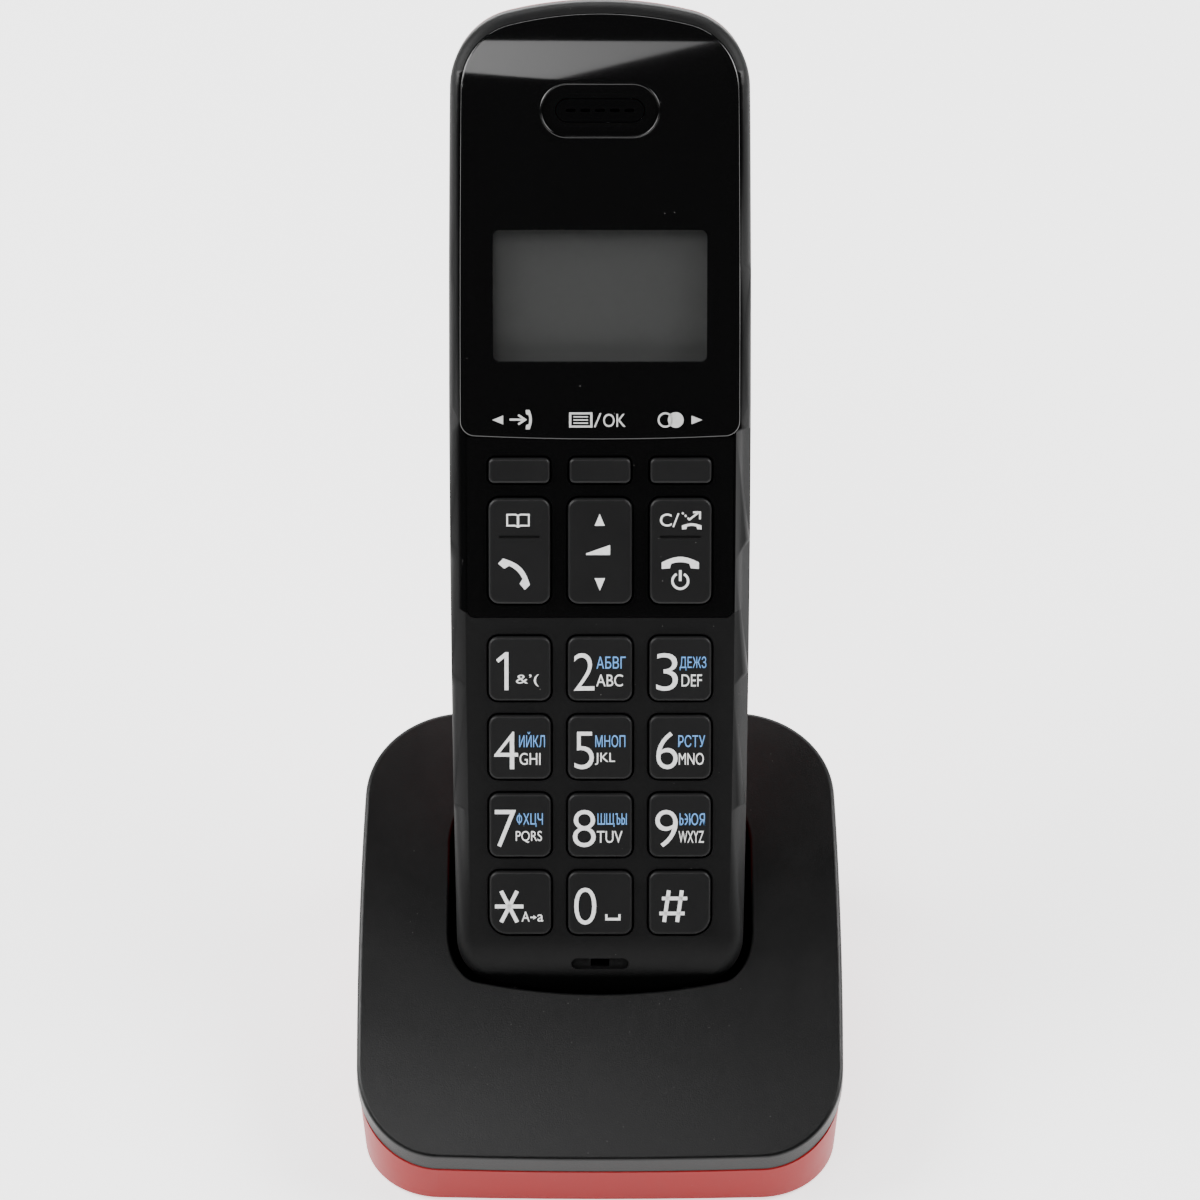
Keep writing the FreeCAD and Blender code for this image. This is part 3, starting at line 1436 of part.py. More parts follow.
def export():
    os.makedirs("parts", exist_ok=True)
    for made in BASE + HANDSET:
        shape = made.Shape
        if shape.isNull() or not shape.isValid():
            raise RuntimeError(f"{made.Label} has no valid shape")
        shape.exportStep(f"parts/{made.Label}.step")
        print(f"{made.Label}: {len(shape.Solids)} solid(s), {shape.Volume:.1f} mm3")


build()
check_model()
export()
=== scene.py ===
import json
import math

import bmesh
import bpy
from mathutils import Matrix, Vector


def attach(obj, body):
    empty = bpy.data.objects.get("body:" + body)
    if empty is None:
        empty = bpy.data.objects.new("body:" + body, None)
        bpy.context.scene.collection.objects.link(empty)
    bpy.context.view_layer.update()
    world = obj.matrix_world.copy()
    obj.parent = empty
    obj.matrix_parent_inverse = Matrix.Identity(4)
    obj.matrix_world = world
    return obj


# Looks of a cordless telephone in its charging base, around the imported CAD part.
# Handset pieces are drawn in the handset's own frame in millimetres: x to the right, y into the
# case from the face, z along its length from the bottom end. LEANING carries them to the part's
# frame, in metres.

MM = 0.001
LEAN = math.radians(35)
ALONG = Vector((0, math.sin(LEAN), math.cos(LEAN)))
DOCK = Vector((0, -40.66, 22.2)) * MM
LEANING = Matrix.Translation(DOCK) @ Matrix.Rotation(-LEAN, 4, "X") @ Matrix.Scale(MM, 4)
FACE = Matrix.Rotation(math.pi / 2, 4, "X")
KEY_TOP = -0.7  # depth of the prints on the keys, in front of the face
PLATE_TOP = -0.25  # depth of the prints on the faceplate
PRINT = 0.02  # half the thickness of a print

PITCH_X, PITCH_Z, LOW_ROW = 12.83, 12.8, 16.5
ROCKER_ROW = 73.95
LABEL_ROW = 95.0
KEY_ROWS = ("*0#", "789", "456", "123")  # from the bottom
EARPIECE_ROW = 143.9
CROWN_START, CROWN_RADIUS = 140.0, 52.0  # where the face starts to roll back, and its radius
CAPITAL = 7.28  # height of the built-in typeface's capitals at size 10

VIEW_ANGLE, VIEW_ELEVATION = math.radians(13.81), math.radians(45)
VIEW_DISTANCE, VIEW_MIDDLE = 0.790, 66  # metres from the camera; millimetres along the handset
SENSOR = 36.0
FLOOR_GLOW, WORLD_GLOW = 1.6, 0.03


# --- materials ---

def group(name, inputs, outputs):
    """A node group with its sockets: (name, kind, default) each."""
    made = bpy.data.node_groups.new(name, "ShaderNodeTree")
    for label, kind, default in inputs:
        socket = made.interface.new_socket(label, in_out="INPUT", socket_type=kind)
        if default is not None:
            socket.default_value = default
    for label, kind in outputs:
        made.interface.new_socket(label, in_out="OUTPUT", socket_type=kind)
    return made, made.nodes.new("NodeGroupInput"), made.nodes.new("NodeGroupOutput")


def node(tree, kind, **settings):
    made = tree.nodes.new(kind)
    for key, value in settings.items():
        if key.startswith("in_"):
            made.inputs[key[3:].replace("_", " ")].default_value = value
        else:
            setattr(made, key, value)
    return made


def math_node(tree, operation, a, b=None, clamp=False):
    """A maths node. Numbers become values and sockets become links."""
    made = tree.nodes.new("ShaderNodeMath")
    made.operation = operation
    made.use_clamp = clamp
    for index, given in enumerate((a, b)):
        if given is None:
            continue
        if isinstance(given, (int, float)):
            made.inputs[index].default_value = given
        else:
            tree.links.new(given, made.inputs[index])
    return made.outputs[0]


def moulded_group():
    """Spark-eroded grain, faint handling marks and a little dust, for any moulded plastic."""
    tree, given, out = group(
        "moulded plastic",
        [
            ("Color", "NodeSocketColor", (0.02, 0.02, 0.02, 1)), ("Roughness", "NodeSocketFloat", 0.5),
            ("Grain", "NodeSocketFloat", 1.0), ("Grain Scale", "NodeSocketFloat", 6000.0),
            ("Handling", "NodeSocketFloat", 0.5), ("Dust", "NodeSocketFloat", 0.3),
        ],
        [("Color", "NodeSocketColor"), ("Roughness", "NodeSocketFloat"), ("Height", "NodeSocketFloat")],
    )
    link = tree.links.new
    place = tree.nodes.new("ShaderNodeTexCoord").outputs["Object"]
    grain = node(tree, "ShaderNodeTexNoise", in_Detail=3.0, in_Roughness=0.65)
    link(place, grain.inputs["Vector"])
    link(given.outputs["Grain Scale"], grain.inputs["Scale"])
    smears = node(tree, "ShaderNodeTexNoise", in_Scale=55.0, in_Detail=4.0, in_Roughness=0.6, in_Distortion=1.2)
    link(place, smears.inputs["Vector"])
    motes = node(tree, "ShaderNodeTexVoronoi", in_Scale=620.0, in_Randomness=1.0)
    link(place, motes.inputs["Vector"])
    few = math_node(tree, "LESS_THAN", motes.outputs["Distance"], 0.055)
    sparse = node(tree, "ShaderNodeTexNoise", in_Scale=150.0, in_Detail=1.0)
    link(place, sparse.inputs["Vector"])
    chosen = math_node(tree, "GREATER_THAN", sparse.outputs["Fac"], 0.6)
    dust = math_node(tree, "MULTIPLY", math_node(tree, "MULTIPLY", few, chosen), given.outputs["Dust"])
    uneven = math_node(tree, "SUBTRACT", smears.outputs["Fac"], 0.5)
    smear = math_node(tree, "MULTIPLY", uneven, given.outputs["Handling"])
    tone = math_node(tree, "ADD", 1.0, math_node(tree, "MULTIPLY", smear, 0.35))
    toned = node(tree, "ShaderNodeVectorMath", operation="SCALE")
    link(given.outputs["Color"], toned.inputs[0])
    link(tone, toned.inputs["Scale"])
    mixed = node(tree, "ShaderNodeMix", data_type="RGBA")
    link(dust, mixed.inputs["Factor"])
    link(toned.outputs[0], mixed.inputs["A"])
    mixed.inputs["B"].default_value = (0.32, 0.31, 0.3, 1)
    rubbed = math_node(tree, "MULTIPLY", smear, 0.22)
    rough = math_node(tree, "ADD", given.outputs["Roughness"], rubbed, clamp=True)
    grained = math_node(tree, "MULTIPLY", grain.outputs["Fac"], given.outputs["Grain"])
    height = math_node(tree, "ADD", grained, dust)
    link(mixed.outputs["Result"], out.inputs["Color"])
    link(rough, out.inputs["Roughness"])
    link(height, out.inputs["Height"])
    return tree


def material(name):
    made = bpy.data.materials.new(name)
    made.use_nodes = True
    tree = made.node_tree
    return made, tree, tree.nodes["Principled BSDF"]


def moulded(name, color, roughness, grain=1.0, scale=6000.0, handling=0.5, dust=0.3, bump=0.00002, coat=0.0,
            coat_roughness=0.05, specular=0.5):
    made, tree, shader = material(name)
    worked = node(tree, "ShaderNodeGroup", node_tree=MOULDED)
    worked.inputs["Color"].default_value = (*color, 1)
    worked.inputs["Roughness"].default_value = roughness
    worked.inputs["Grain"].default_value = grain
    worked.inputs["Grain Scale"].default_value = scale
    worked.inputs["Handling"].default_value = handling
    worked.inputs["Dust"].default_value = dust
    tree.links.new(worked.outputs["Color"], shader.inputs["Base Color"])
    tree.links.new(worked.outputs["Roughness"], shader.inputs["Roughness"])
    relief = node(tree, "ShaderNodeBump", in_Strength=1.0, in_Distance=bump)
    tree.links.new(worked.outputs["Height"], relief.inputs["Height"])
    tree.links.new(relief.outputs["Normal"], shader.inputs["Normal"])
    shader.inputs["Coat Weight"].default_value = coat
    shader.inputs["Coat Roughness"].default_value = coat_roughness
    shader.inputs["Specular IOR Level"].default_value = specular
    return made


def along_handset(tree):
    """Height along the handset in millimetres, and the point itself, from Object coordinates."""
    place = tree.nodes.new("ShaderNodeTexCoord").outputs["Object"]
    dot = node(tree, "ShaderNodeVectorMath", operation="DOT_PRODUCT")
    tree.links.new(place, dot.inputs[0])
    dot.inputs[1].default_value = ALONG
    from_dock = math_node(tree, "SUBTRACT", dot.outputs["Value"], ALONG.dot(DOCK))
    level = math_node(tree, "MULTIPLY", from_dock, 1 / MM)
    return level, place


def step(tree, given, edge, width, falling=False):
    """A soft step from 0 to 1 as given passes edge, or from 1 to 0 if falling."""
    slope = math_node(tree, "DIVIDE", math_node(tree, "SUBTRACT", given, edge), width)
    if falling:
        slope = math_node(tree, "MULTIPLY", slope, -1.0)
    return math_node(tree, "ADD", slope, 0.5, clamp=True)


def case_material():
    """The front case: finely grained, but polished in a band round the function keys."""
    lowest, highest, side = 63.3, 150.0, 22.4
    rise, half_width = 1.6, 23.3  # the band's lower edge curves up by rise towards the sides
    made = moulded(
        "matte black case", (0.0038, 0.0038, 0.0039), 0.5, scale=5200.0, bump=0.000022, specular=0.16, dust=0.12
    )
    tree = made.node_tree
    shader = tree.nodes["Principled BSDF"]
    level, place = along_handset(tree)
    apart = tree.nodes.new("ShaderNodeSeparateXYZ")
    tree.links.new(place, apart.inputs[0])
    across = math_node(tree, "MULTIPLY", math_node(tree, "ABSOLUTE", apart.outputs["X"]), 1 / MM)
    bend = math_node(tree, "POWER", math_node(tree, "DIVIDE", across, half_width), 10.0)
    low = math_node(tree, "ADD", lowest, math_node(tree, "MULTIPLY", bend, rise))
    above = math_node(tree, "SUBTRACT", level, low)
    started = step(tree, above, 0.0, 0.12)
    band = math_node(tree, "MULTIPLY", started, step(tree, across, side, 0.8, falling=True))
    band = math_node(tree, "MULTIPLY", band, step(tree, level, highest, 0.3, falling=True))
    old_rough = shader.inputs["Roughness"].links[0].from_socket
    mixed = node(tree, "ShaderNodeMix", data_type="FLOAT")
    tree.links.new(band, mixed.inputs["Factor"])
    tree.links.new(old_rough, mixed.inputs["A"])
    mixed.inputs["B"].default_value = 0.08
    tree.links.new(mixed.outputs["Result"], shader.inputs["Roughness"])
    old_color = shader.inputs["Base Color"].links[0].from_socket
    tint = node(tree, "ShaderNodeMix", data_type="RGBA")
    tree.links.new(band, tint.inputs["Factor"])
    tree.links.new(old_color, tint.inputs["A"])
    tint.inputs["B"].default_value = (0.002, 0.002, 0.0021, 1)
    tree.links.new(tint.outputs["Result"], shader.inputs["Base Color"])
    relief = next(item for item in tree.nodes if item.type == "BUMP")
    tree.links.new(math_node(tree, "SUBTRACT", 1.0, band), relief.inputs["Strength"])
    return made


def printed(name, color):
    """Screen-printed ink: flat, with slightly uneven cover."""
    made, tree, shader = material(name)
    place = tree.nodes.new("ShaderNodeTexCoord").outputs["Object"]
    cover = node(tree, "ShaderNodeTexNoise", in_Scale=1800.0, in_Detail=2.0)
    tree.links.new(place, cover.inputs["Vector"])
    ramp = tree.nodes.new("ShaderNodeValToRGB")
    ramp.color_ramp.elements[0].position = 0.25
    ramp.color_ramp.elements[0].color = (*[channel * 0.86 for channel in color], 1)
    ramp.color_ramp.elements[1].position = 0.6
    ramp.color_ramp.elements[1].color = (*color, 1)
    tree.links.new(cover.outputs["Fac"], ramp.inputs["Fac"])
    tree.links.new(ramp.outputs["Color"], shader.inputs["Base Color"])
    shader.inputs["Roughness"].default_value = 0.5
    return made


def display_material():
    """Unlit liquid-crystal glass: grey, with a barely visible pattern of segments."""
    made, tree, shader = material("display glass")
    level, place = along_handset(tree)
    apart = tree.nodes.new("ShaderNodeSeparateXYZ")
    tree.links.new(place, apart.inputs[0])
    wide = math_node(tree, "FRACT", math_node(tree, "MULTIPLY", apart.outputs["X"], 1900.0))
    tall = math_node(tree, "FRACT", math_node(tree, "MULTIPLY", level, 1.9))
    cell = math_node(tree, "MULTIPLY", step(tree, wide, 0.1, 0.1), step(tree, tall, 0.1, 0.1))
    ramp = tree.nodes.new("ShaderNodeValToRGB")
    ramp.color_ramp.elements[0].color = (0.05, 0.051, 0.05, 1)
    ramp.color_ramp.elements[1].color = (0.048, 0.049, 0.048, 1)
    tree.links.new(cell, ramp.inputs["Fac"])
    tree.links.new(ramp.outputs["Color"], shader.inputs["Base Color"])
    shader.inputs["Roughness"].default_value = 0.55
    return made


def window_material():
    made, tree, shader = material("clear window")
    place = tree.nodes.new("ShaderNodeTexCoord").outputs["Object"]
    haze = node(tree, "ShaderNodeTexNoise", in_Scale=70.0, in_Detail=3.0)
    tree.links.new(place, haze.inputs["Vector"])
    level = math_node(tree, "ADD", 0.03, math_node(tree, "MULTIPLY", haze.outputs["Fac"], 0.03))
    tree.links.new(level, shader.inputs["Roughness"])
    shader.inputs["Base Color"].default_value = (0.01, 0.01, 0.01, 1)
    shader.inputs["Alpha"].default_value = 0.12
    shader.inputs["IOR"].default_value = 1.49
    made.surface_render_method = "BLENDED"
    return made


def metal(name, color, roughness, scale=900.0):
    made, tree, shader = material(name)
    place = tree.nodes.new("ShaderNodeTexCoord").outputs["Object"]
    stretch = node(tree, "ShaderNodeMapping")
    stretch.inputs["Scale"].default_value = (1.0, 6.0, 1.0)
    tree.links.new(place, stretch.inputs["Vector"])
    marks = node(tree, "ShaderNodeTexNoise", in_Scale=scale, in_Detail=4.0)
    tree.links.new(stretch.outputs["Vector"], marks.inputs["Vector"])
    rough = math_node(tree, "ADD", roughness - 0.1, math_node(tree, "MULTIPLY", marks.outputs["Fac"], 0.2))
    tree.links.new(rough, shader.inputs["Roughness"])
    shader.inputs["Base Color"].default_value = (*color, 1)
    shader.inputs["Metallic"].default_value = 1.0
    relief = node(tree, "ShaderNodeBump", in_Strength=0.6, in_Distance=0.00002)
    tree.links.new(marks.outputs["Fac"], relief.inputs["Height"])
    tree.links.new(relief.outputs["Normal"], shader.inputs["Normal"])
    return made


def board_material():
    """Solder mask over traces."""
    made, tree, shader = material("circuit board")
    place = tree.nodes.new("ShaderNodeTexCoord").outputs["Object"]
    traces = node(tree, "ShaderNodeTexBrick", in_Scale=240.0, in_Mortar_Size=0.02)
    traces.inputs["Color1"].default_value = (0.014, 0.085, 0.03, 1)
    traces.inputs["Color2"].default_value = (0.018, 0.11, 0.04, 1)
    traces.inputs["Mortar"].default_value = (0.03, 0.2, 0.07, 1)
    tree.links.new(place, traces.inputs["Vector"])
    tree.links.new(traces.outputs["Color"], shader.inputs["Base Color"])
    shader.inputs["Roughness"].default_value = 0.35
    relief = node(tree, "ShaderNodeBump", in_Strength=0.5, in_Distance=0.00004)
    tree.links.new(traces.outputs["Fac"], relief.inputs["Height"])
    tree.links.new(relief.outputs["Normal"], shader.inputs["Normal"])
    return made


# --- pieces ---

def settle(mesh, name, body, paint, place=LEANING):
    """Puts a mesh into the part's frame and lets it ride on its body."""
    mesh.transform(place)
    mesh.materials.clear()
    mesh.materials.append(paint)
    made = bpy.data.objects.new(name, mesh)
    bpy.context.scene.collection.objects.link(made)
    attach(made, body)
    return made


def baked(made):
    """The plain mesh of a text or curve object, which is then removed."""
    bpy.context.view_layer.update()
    mesh = bpy.data.meshes.new_from_object(made.evaluated_get(bpy.context.evaluated_depsgraph_get()))
    data = made.data
    bpy.data.objects.remove(made)
    bpy.data.curves.remove(data)
    weld = bmesh.new()
    weld.from_mesh(mesh)
    bmesh.ops.remove_doubles(weld, verts=weld.verts, dist=1e-5)
    bmesh.ops.recalc_face_normals(weld, faces=weld.faces)
    weld.to_mesh(mesh)
    weld.free()
    return mesh


def words(text, weight=0.0):
    """Flat print of a text, 2 * PRINT thick, as drawn by the built-in typeface."""
    data = bpy.data.curves.new("words", "FONT")
    data.body = text
    data.size = 10.0
    data.offset = weight
    data.extrude = PRINT
    data.resolution_u = 5
    made = bpy.data.objects.new("words", data)
    bpy.context.scene.collection.objects.link(made)
    return baked(made)


def shapes(outlines):
    """Flat print of closed outlines; an outline inside another is a hole."""
    data = bpy.data.curves.new("shapes", "CURVE")
    data.dimensions = "2D"
    data.fill_mode = "BOTH"
    data.extrude = PRINT
    for points in outlines:
        line = data.splines.new("POLY")
        line.points.add(len(points) - 1)
        for spot, (x, y) in zip(line.points, points):
            spot.co = (x, y, 0, 1)
        line.use_cyclic_u = True
    made = bpy.data.objects.new("shapes", data)
    bpy.context.scene.collection.objects.link(made)
    return baked(made)


def fit(mesh, x0, x1, z0, z1):
    """Stretches a flat mesh into a box of the face: x0 to x1 across, z0 to z1 along."""
    xs = [v.co.x for v in mesh.vertices]
    ys = [v.co.y for v in mesh.vertices]
    wide, tall = max(xs) - min(xs), max(ys) - min(ys)
    mesh.transform(
        Matrix.Translation((x0, z0, 0)) @ Matrix.Diagonal(((x1 - x0) / wide, (z1 - z0) / tall, 1, 1))
        @ Matrix.Translation((-min(xs), -min(ys), 0))
    )
    return mesh


def on_face(mesh, x, z, depth):
    """Moves a flat mesh to a place on the face, at that depth."""
    mesh.transform(Matrix.Translation((x, depth, z)) @ FACE)
    return mesh


def merged(meshes):
    total = bmesh.new()
    for mesh in meshes:
        total.from_mesh(mesh)
    made = bpy.data.meshes.new("print")
    total.to_mesh(made)
    total.free()
    return made


def stroke(points, width):
    """Outline of a line of that width through the points, with square ends."""
    left, right = [], []
    for index, spot in enumerate(points):
        before = Vector(points[max(index - 1, 0)])
        after = Vector(points[min(index + 1, len(points) - 1)])
        way = (after - before).normalized()
        aside = Vector((-way.y, way.x)) * width / 2
        if 0 < index < len(points) - 1:
            one = (Vector(spot) - before).normalized()
            turn = max(0.35, abs(one.dot(way)))
            aside /= turn
        left.append(tuple(Vector(spot) + aside))
        right.append(tuple(Vector(spot) - aside))
    return left + right[::-1]


def ring_points(x, y, radius, start=0.0, stop=360.0, count=28, squash=1.0):
    return [
        (
            x + radius * math.cos(math.radians(start + (stop - start) * n / count)),
            y + squash * radius * math.sin(math.radians(start + (stop - start) * n / count)),
        )
        for n in range(count + 1)
    ]


def disc(x, y, radius, count=28):
    return ring_points(x, y, radius, count=count)[:-1]


def receiver(span, bow, grip, ear_width, ear_drop, flare=0.0):
    """Outline of a telephone receiver lying like a bridge, ears down, in the middle of its own box."""
    top = [(x, bow * math.cos(math.pi * x / span)) for x in [span * (n / 14 - 0.5) for n in range(15)]]
    inner = span / 2 - ear_width
    under = [
        (x, bow * math.cos(math.pi * x / span) - grip) for x in [inner * (1 - 2 * n / 10) for n in range(11)]
    ]
    right = [(span / 2 + flare, -ear_drop), (inner + 0.15 * ear_width, -ear_drop + 0.1 * ear_drop)]
    left = [(-inner - 0.15 * ear_width, -ear_drop + 0.1 * ear_drop), (-span / 2 - flare, -ear_drop)]
    return top + right + under + left


def turned(points, degrees, x=0.0, y=0.0, scale=1.0):
    c, s = math.cos(math.radians(degrees)) * scale, math.sin(math.radians(degrees)) * scale
    return [(x + c * px - s * py, y + s * px + c * py) for px, py in points]


# For each key: the reach of its figure across, then its Latin and Cyrillic letters, each with their reach.
DIGITS = {
    "1": ((-3.75, -1.75), "&’(", (-0.6, 3.05), None, None),
    "2": ((-4.2, -0.9), "ABC", (-0.6, 3.65), "АБВГ", (-0.55, 4.1)),
    "3": ((-3.85, -0.4), "DEF", (0.2, 3.45), "ДЕЖЗ", (-0.1, 4.15)),
    "4": ((-4.1, -0.3), "GHI", (-0.05, 3.3), "ИЙКЛ", (-0.12, 4.0)),
    "5": ((-4.1, -1.0), "JKL", (-0.8, 2.4), "МНОП", (-0.75, 4.05)),
    "6": ((-3.8, -0.4), "MNO", (-0.2, 3.8), "РСТУ", (-0.3, 4.0)),
    "7": ((-4.05, -0.65), "PQRS", (-0.7, 3.5), "ФХЦЧ", (-0.55, 3.65)),
    "8": ((-4.35, -0.7), "TUV", (-0.5, 3.6), "ШЩЪЫ", (-0.4, 4.3)),
    "9": ((-3.95, -0.35), "WXYZ", (-0.2, 3.85), "ЬЭЮЯ", (-0.05, 4.0)),
    "0": ((-4.15, -0.6), None, None, None, None),
}
DIGIT_LOW, DIGIT_HIGH = -3.5, 2.6
SPACE_MARK = [
    (0.85, -1.8), (0.85, -2.8), (3.3, -2.8), (3.3, -1.8), (2.95, -1.8), (2.95, -2.4), (1.2, -2.4), (1.2, -1.8)
]
LATIN_LOW, LATIN_HIGH = -2.8, -0.85
CYRILLIC_LOW, CYRILLIC_HIGH = 0.1, 2.05
ACCENT, TAIL = 1.28, 0.28  # room over a letter with a breve, and under one with a tail


def key_middle(label):
    line = next(n for n, row in enumerate(KEY_ROWS) if label in row)
    return (KEY_ROWS[line].index(label) - 1) * PITCH_X, LOW_ROW + line * PITCH_Z


def star():
    """Six-armed star: one level bar and two steep ones."""
    return [
        stroke([(-2.28, 0), (2.28, 0)], 0.62),
        stroke([(-1.28, 2.55), (1.28, -2.6)], 0.62),
        stroke([(-1.28, -2.6), (1.28, 2.55)], 0.62),
    ]


def bars(outlines):
    """Outlines that cross each other, each made as a print of its own and joined."""
    return merged([shapes([points]) for points in outlines])


def soft_sign(x):
    bowl = [(x + 0.7, 5.6), (x + 3.0, 5.6), (x + 4.4, 4.7), (x + 4.4, 1.6), (x + 3.0, 0.6), (x + 0.7, 0.6)]
    return [stroke([(x + 0.7, 0), (x + 0.7, 10)], 1.3), stroke(bowl, 1.2)]


DRAWN = {
    "Ф": lambda: [
        stroke(ring_points(4.0, 5.0, 3.2, squash=1.05), 1.2), stroke([(4.0, -0.2), (4.0, 10.2)], 1.2)
    ],
    "Ь": lambda: soft_sign(0),
    "Ъ": lambda: [*soft_sign(1.8), stroke([(0, 9.4), (2.6, 9.4)], 1.2)],
    "Ы": lambda: [*soft_sign(0), stroke([(6.9, 0), (6.9, 10)], 1.3)],
    "Э": lambda: [
        stroke(ring_points(0.6, 5.0, 4.4, -78, 78, squash=1.02), 1.2), stroke([(1.6, 5.1), (4.6, 5.1)], 1.1)
    ],
}


def letters(text):
    """A word whose letters the built-in typeface can't fill are drawn as strokes."""
    if not set(text) & set(DRAWN):
        return words(text)
    meshes, reach = [], 0.0
    for letter in text:
        mesh = bars(DRAWN[letter]()) if letter in DRAWN else words(letter)
        xs = [v.co.x for v in mesh.vertices]
        wide = max(xs) - min(xs) if letter in DRAWN else (max(xs) - min(xs)) * 10 / CAPITAL
        low = -2.0 if letter in "ЩЦ" else 0.0
        fit(mesh, reach, reach + wide, low, 10.0)
        reach += wide + 1.6
        meshes.append(mesh)
    return merged(meshes)


def figure_one():
    flag = [(-2.3, 2.75), (-3.75, 1.55), (-3.4, 1.05), (-2.42, 1.85)]
    return shapes([[(-1.8, -3.4), (-1.8, 2.75), *flag, (-2.42, -3.4)]])


def number_legends():
    for label, (span, latin, latin_span, cyrillic, cyrillic_span) in DIGITS.items():
        x, z = key_middle(label)
        body = f"key_{label}"
        figure = figure_one() if label == "1" else fit(words(label, weight=-0.1), *span, DIGIT_LOW, DIGIT_HIGH)
        white = [figure]
        if latin:
            white.append(fit(words(latin), *latin_span, LATIN_LOW, LATIN_HIGH))
        if label == "0":
            white.append(shapes([SPACE_MARK]))
        flat = on_face(merged(white), x, z, KEY_TOP)
        settle(flat, f"legend_{label}", body, INK_WHITE)
        if cyrillic:
            tall = (CYRILLIC_HIGH - CYRILLIC_LOW) * (ACCENT if "Й" in cyrillic else 1.0)
            low = CYRILLIC_LOW - (TAIL if set("ДЦЩ") & set(cyrillic) else 0.0)
            blue = on_face(fit(letters(cyrillic), *cyrillic_span, low, CYRILLIC_LOW + tall), x, z, KEY_TOP)
            settle(blue, f"legend_{label}_blue", body, INK_BLUE)
    x, z = key_middle("*")
    small = [
        fit(words("A", weight=0.03), 0.2, 1.5, -3.0, -1.35),
        fit(words("a", weight=0.03), 2.75, 3.7, -3.0, -1.8),
        shapes([stroke([(1.6, -2.3), (2.2, -2.3)], 0.22)]),
        shapes([[(2.1, -1.95), (2.65, -2.3), (2.1, -2.65)]]),
    ]
    asterisk = bars([[(px - 1.8, pz - 0.5) for px, pz in outline] for outline in star()])
    marks = on_face(merged([asterisk, *small]), x, z, KEY_TOP)
    settle(marks, "legend_star", "key_star", INK_WHITE)
    x, z = key_middle("#")
    hash_bars = bars([
        stroke([(-2.85, 0.83), (1.2, 0.83)], 0.58), stroke([(-3.25, -1.65), (0.8, -1.65)], 0.58),
        stroke([(-2.5, -3.05), (-1.75, 2.15)], 0.6), stroke([(-0.4, -3.05), (0.35, 2.15)], 0.6),
    ])
    settle(on_face(hash_bars, x, z, KEY_TOP), "legend_hash", "key_hash", INK_WHITE)


def book():
    """An open book: two pages with curved tops, as outlines with holes."""
    outer = [
        (0.0, -0.82), (0.0, 0.95), (0.35, 1.12), (1.0, 1.12), (1.85, 1.1),
        (1.85, -0.9), (1.0, -0.9), (0.4, -0.92), (0.0, -1.15),
    ]
    inner = [
        (0.17, -0.72), (0.17, 0.8), (0.5, 0.88), (1.0, 0.88),
        (1.6, 0.84), (1.6, -0.66), (1.0, -0.66), (0.5, -0.64),
    ]
    pages = [[[(x * sign, z) for x, z in points] for points in (outer, inner)] for sign in (-1, 1)]
    return merged([shapes(page) for page in pages])


def talk_marks():
    open_book = book()
    open_book.transform(Matrix.Translation((-0.2, 4.95, 0)))
    return [open_book, shapes([turned(receiver(6.0, 0.95, 0.82, 1.5, 1.15), -45, -0.45, -3.25)])]


def volume_marks():
    return [
        shapes([[(-0.85, 4.15), (0.75, 4.15), (-0.05, 6.05)]]),
        shapes([[(-2.2, -0.55), (1.6, -0.55), (1.6, 1.05), (-2.2, -0.3)]]),
        shapes([[(-0.85, -4.3), (0.8, -4.3), (-0.02, -6.3)]]),
    ]


def hangup_marks():
    """C, a slash and a call turned away, over a receiver on its rest and the power sign."""
    letter = fit(words("C", weight=0.04), -3.3, -1.45, 4.05, 6.1)
    slash = shapes([stroke([(-1.2, 3.95), (-0.35, 6.15)], 0.25)])
    arrow = bars([
        stroke([(1.3, 5.1), (2.85, 6.3)], 0.3), stroke([(1.95, 6.32), (3.05, 6.32), (3.05, 5.2)], 0.3),
        stroke([(0.2, 6.25), (0.45, 6.05)], 0.28), stroke([(0.65, 5.85), (0.9, 5.62)], 0.28),
        stroke([(1.1, 5.42), (1.4, 5.1)], 0.28),
    ])
    small = shapes([turned(receiver(3.1, 0.36, 0.4, 0.8, 0.62), 0, 1.75, 4.18)])
    hung = shapes([turned(receiver(5.9, 0.9, 0.85, 1.5, 1.05), 0, -0.05, -1.75)])
    power = bars([
        stroke(ring_points(-0.05, -4.75, 1.25, 118, 422), 0.38), stroke([(-0.05, -3.0), (-0.05, -4.75)], 0.42)
    ])
    return [letter, slash, arrow, small, hung, power]


def rocker_legends():
    rockers = (
        ("talk_rocker", -PITCH_X, talk_marks), ("volume_rocker", 0.0, volume_marks),
        ("hangup_rocker", PITCH_X, hangup_marks),
    )
    for name, x, marks in rockers:
        flat = on_face(merged(marks()), x, ROCKER_ROW, KEY_TOP)
        settle(flat, f"{name}_legend", name, INK_WHITE)


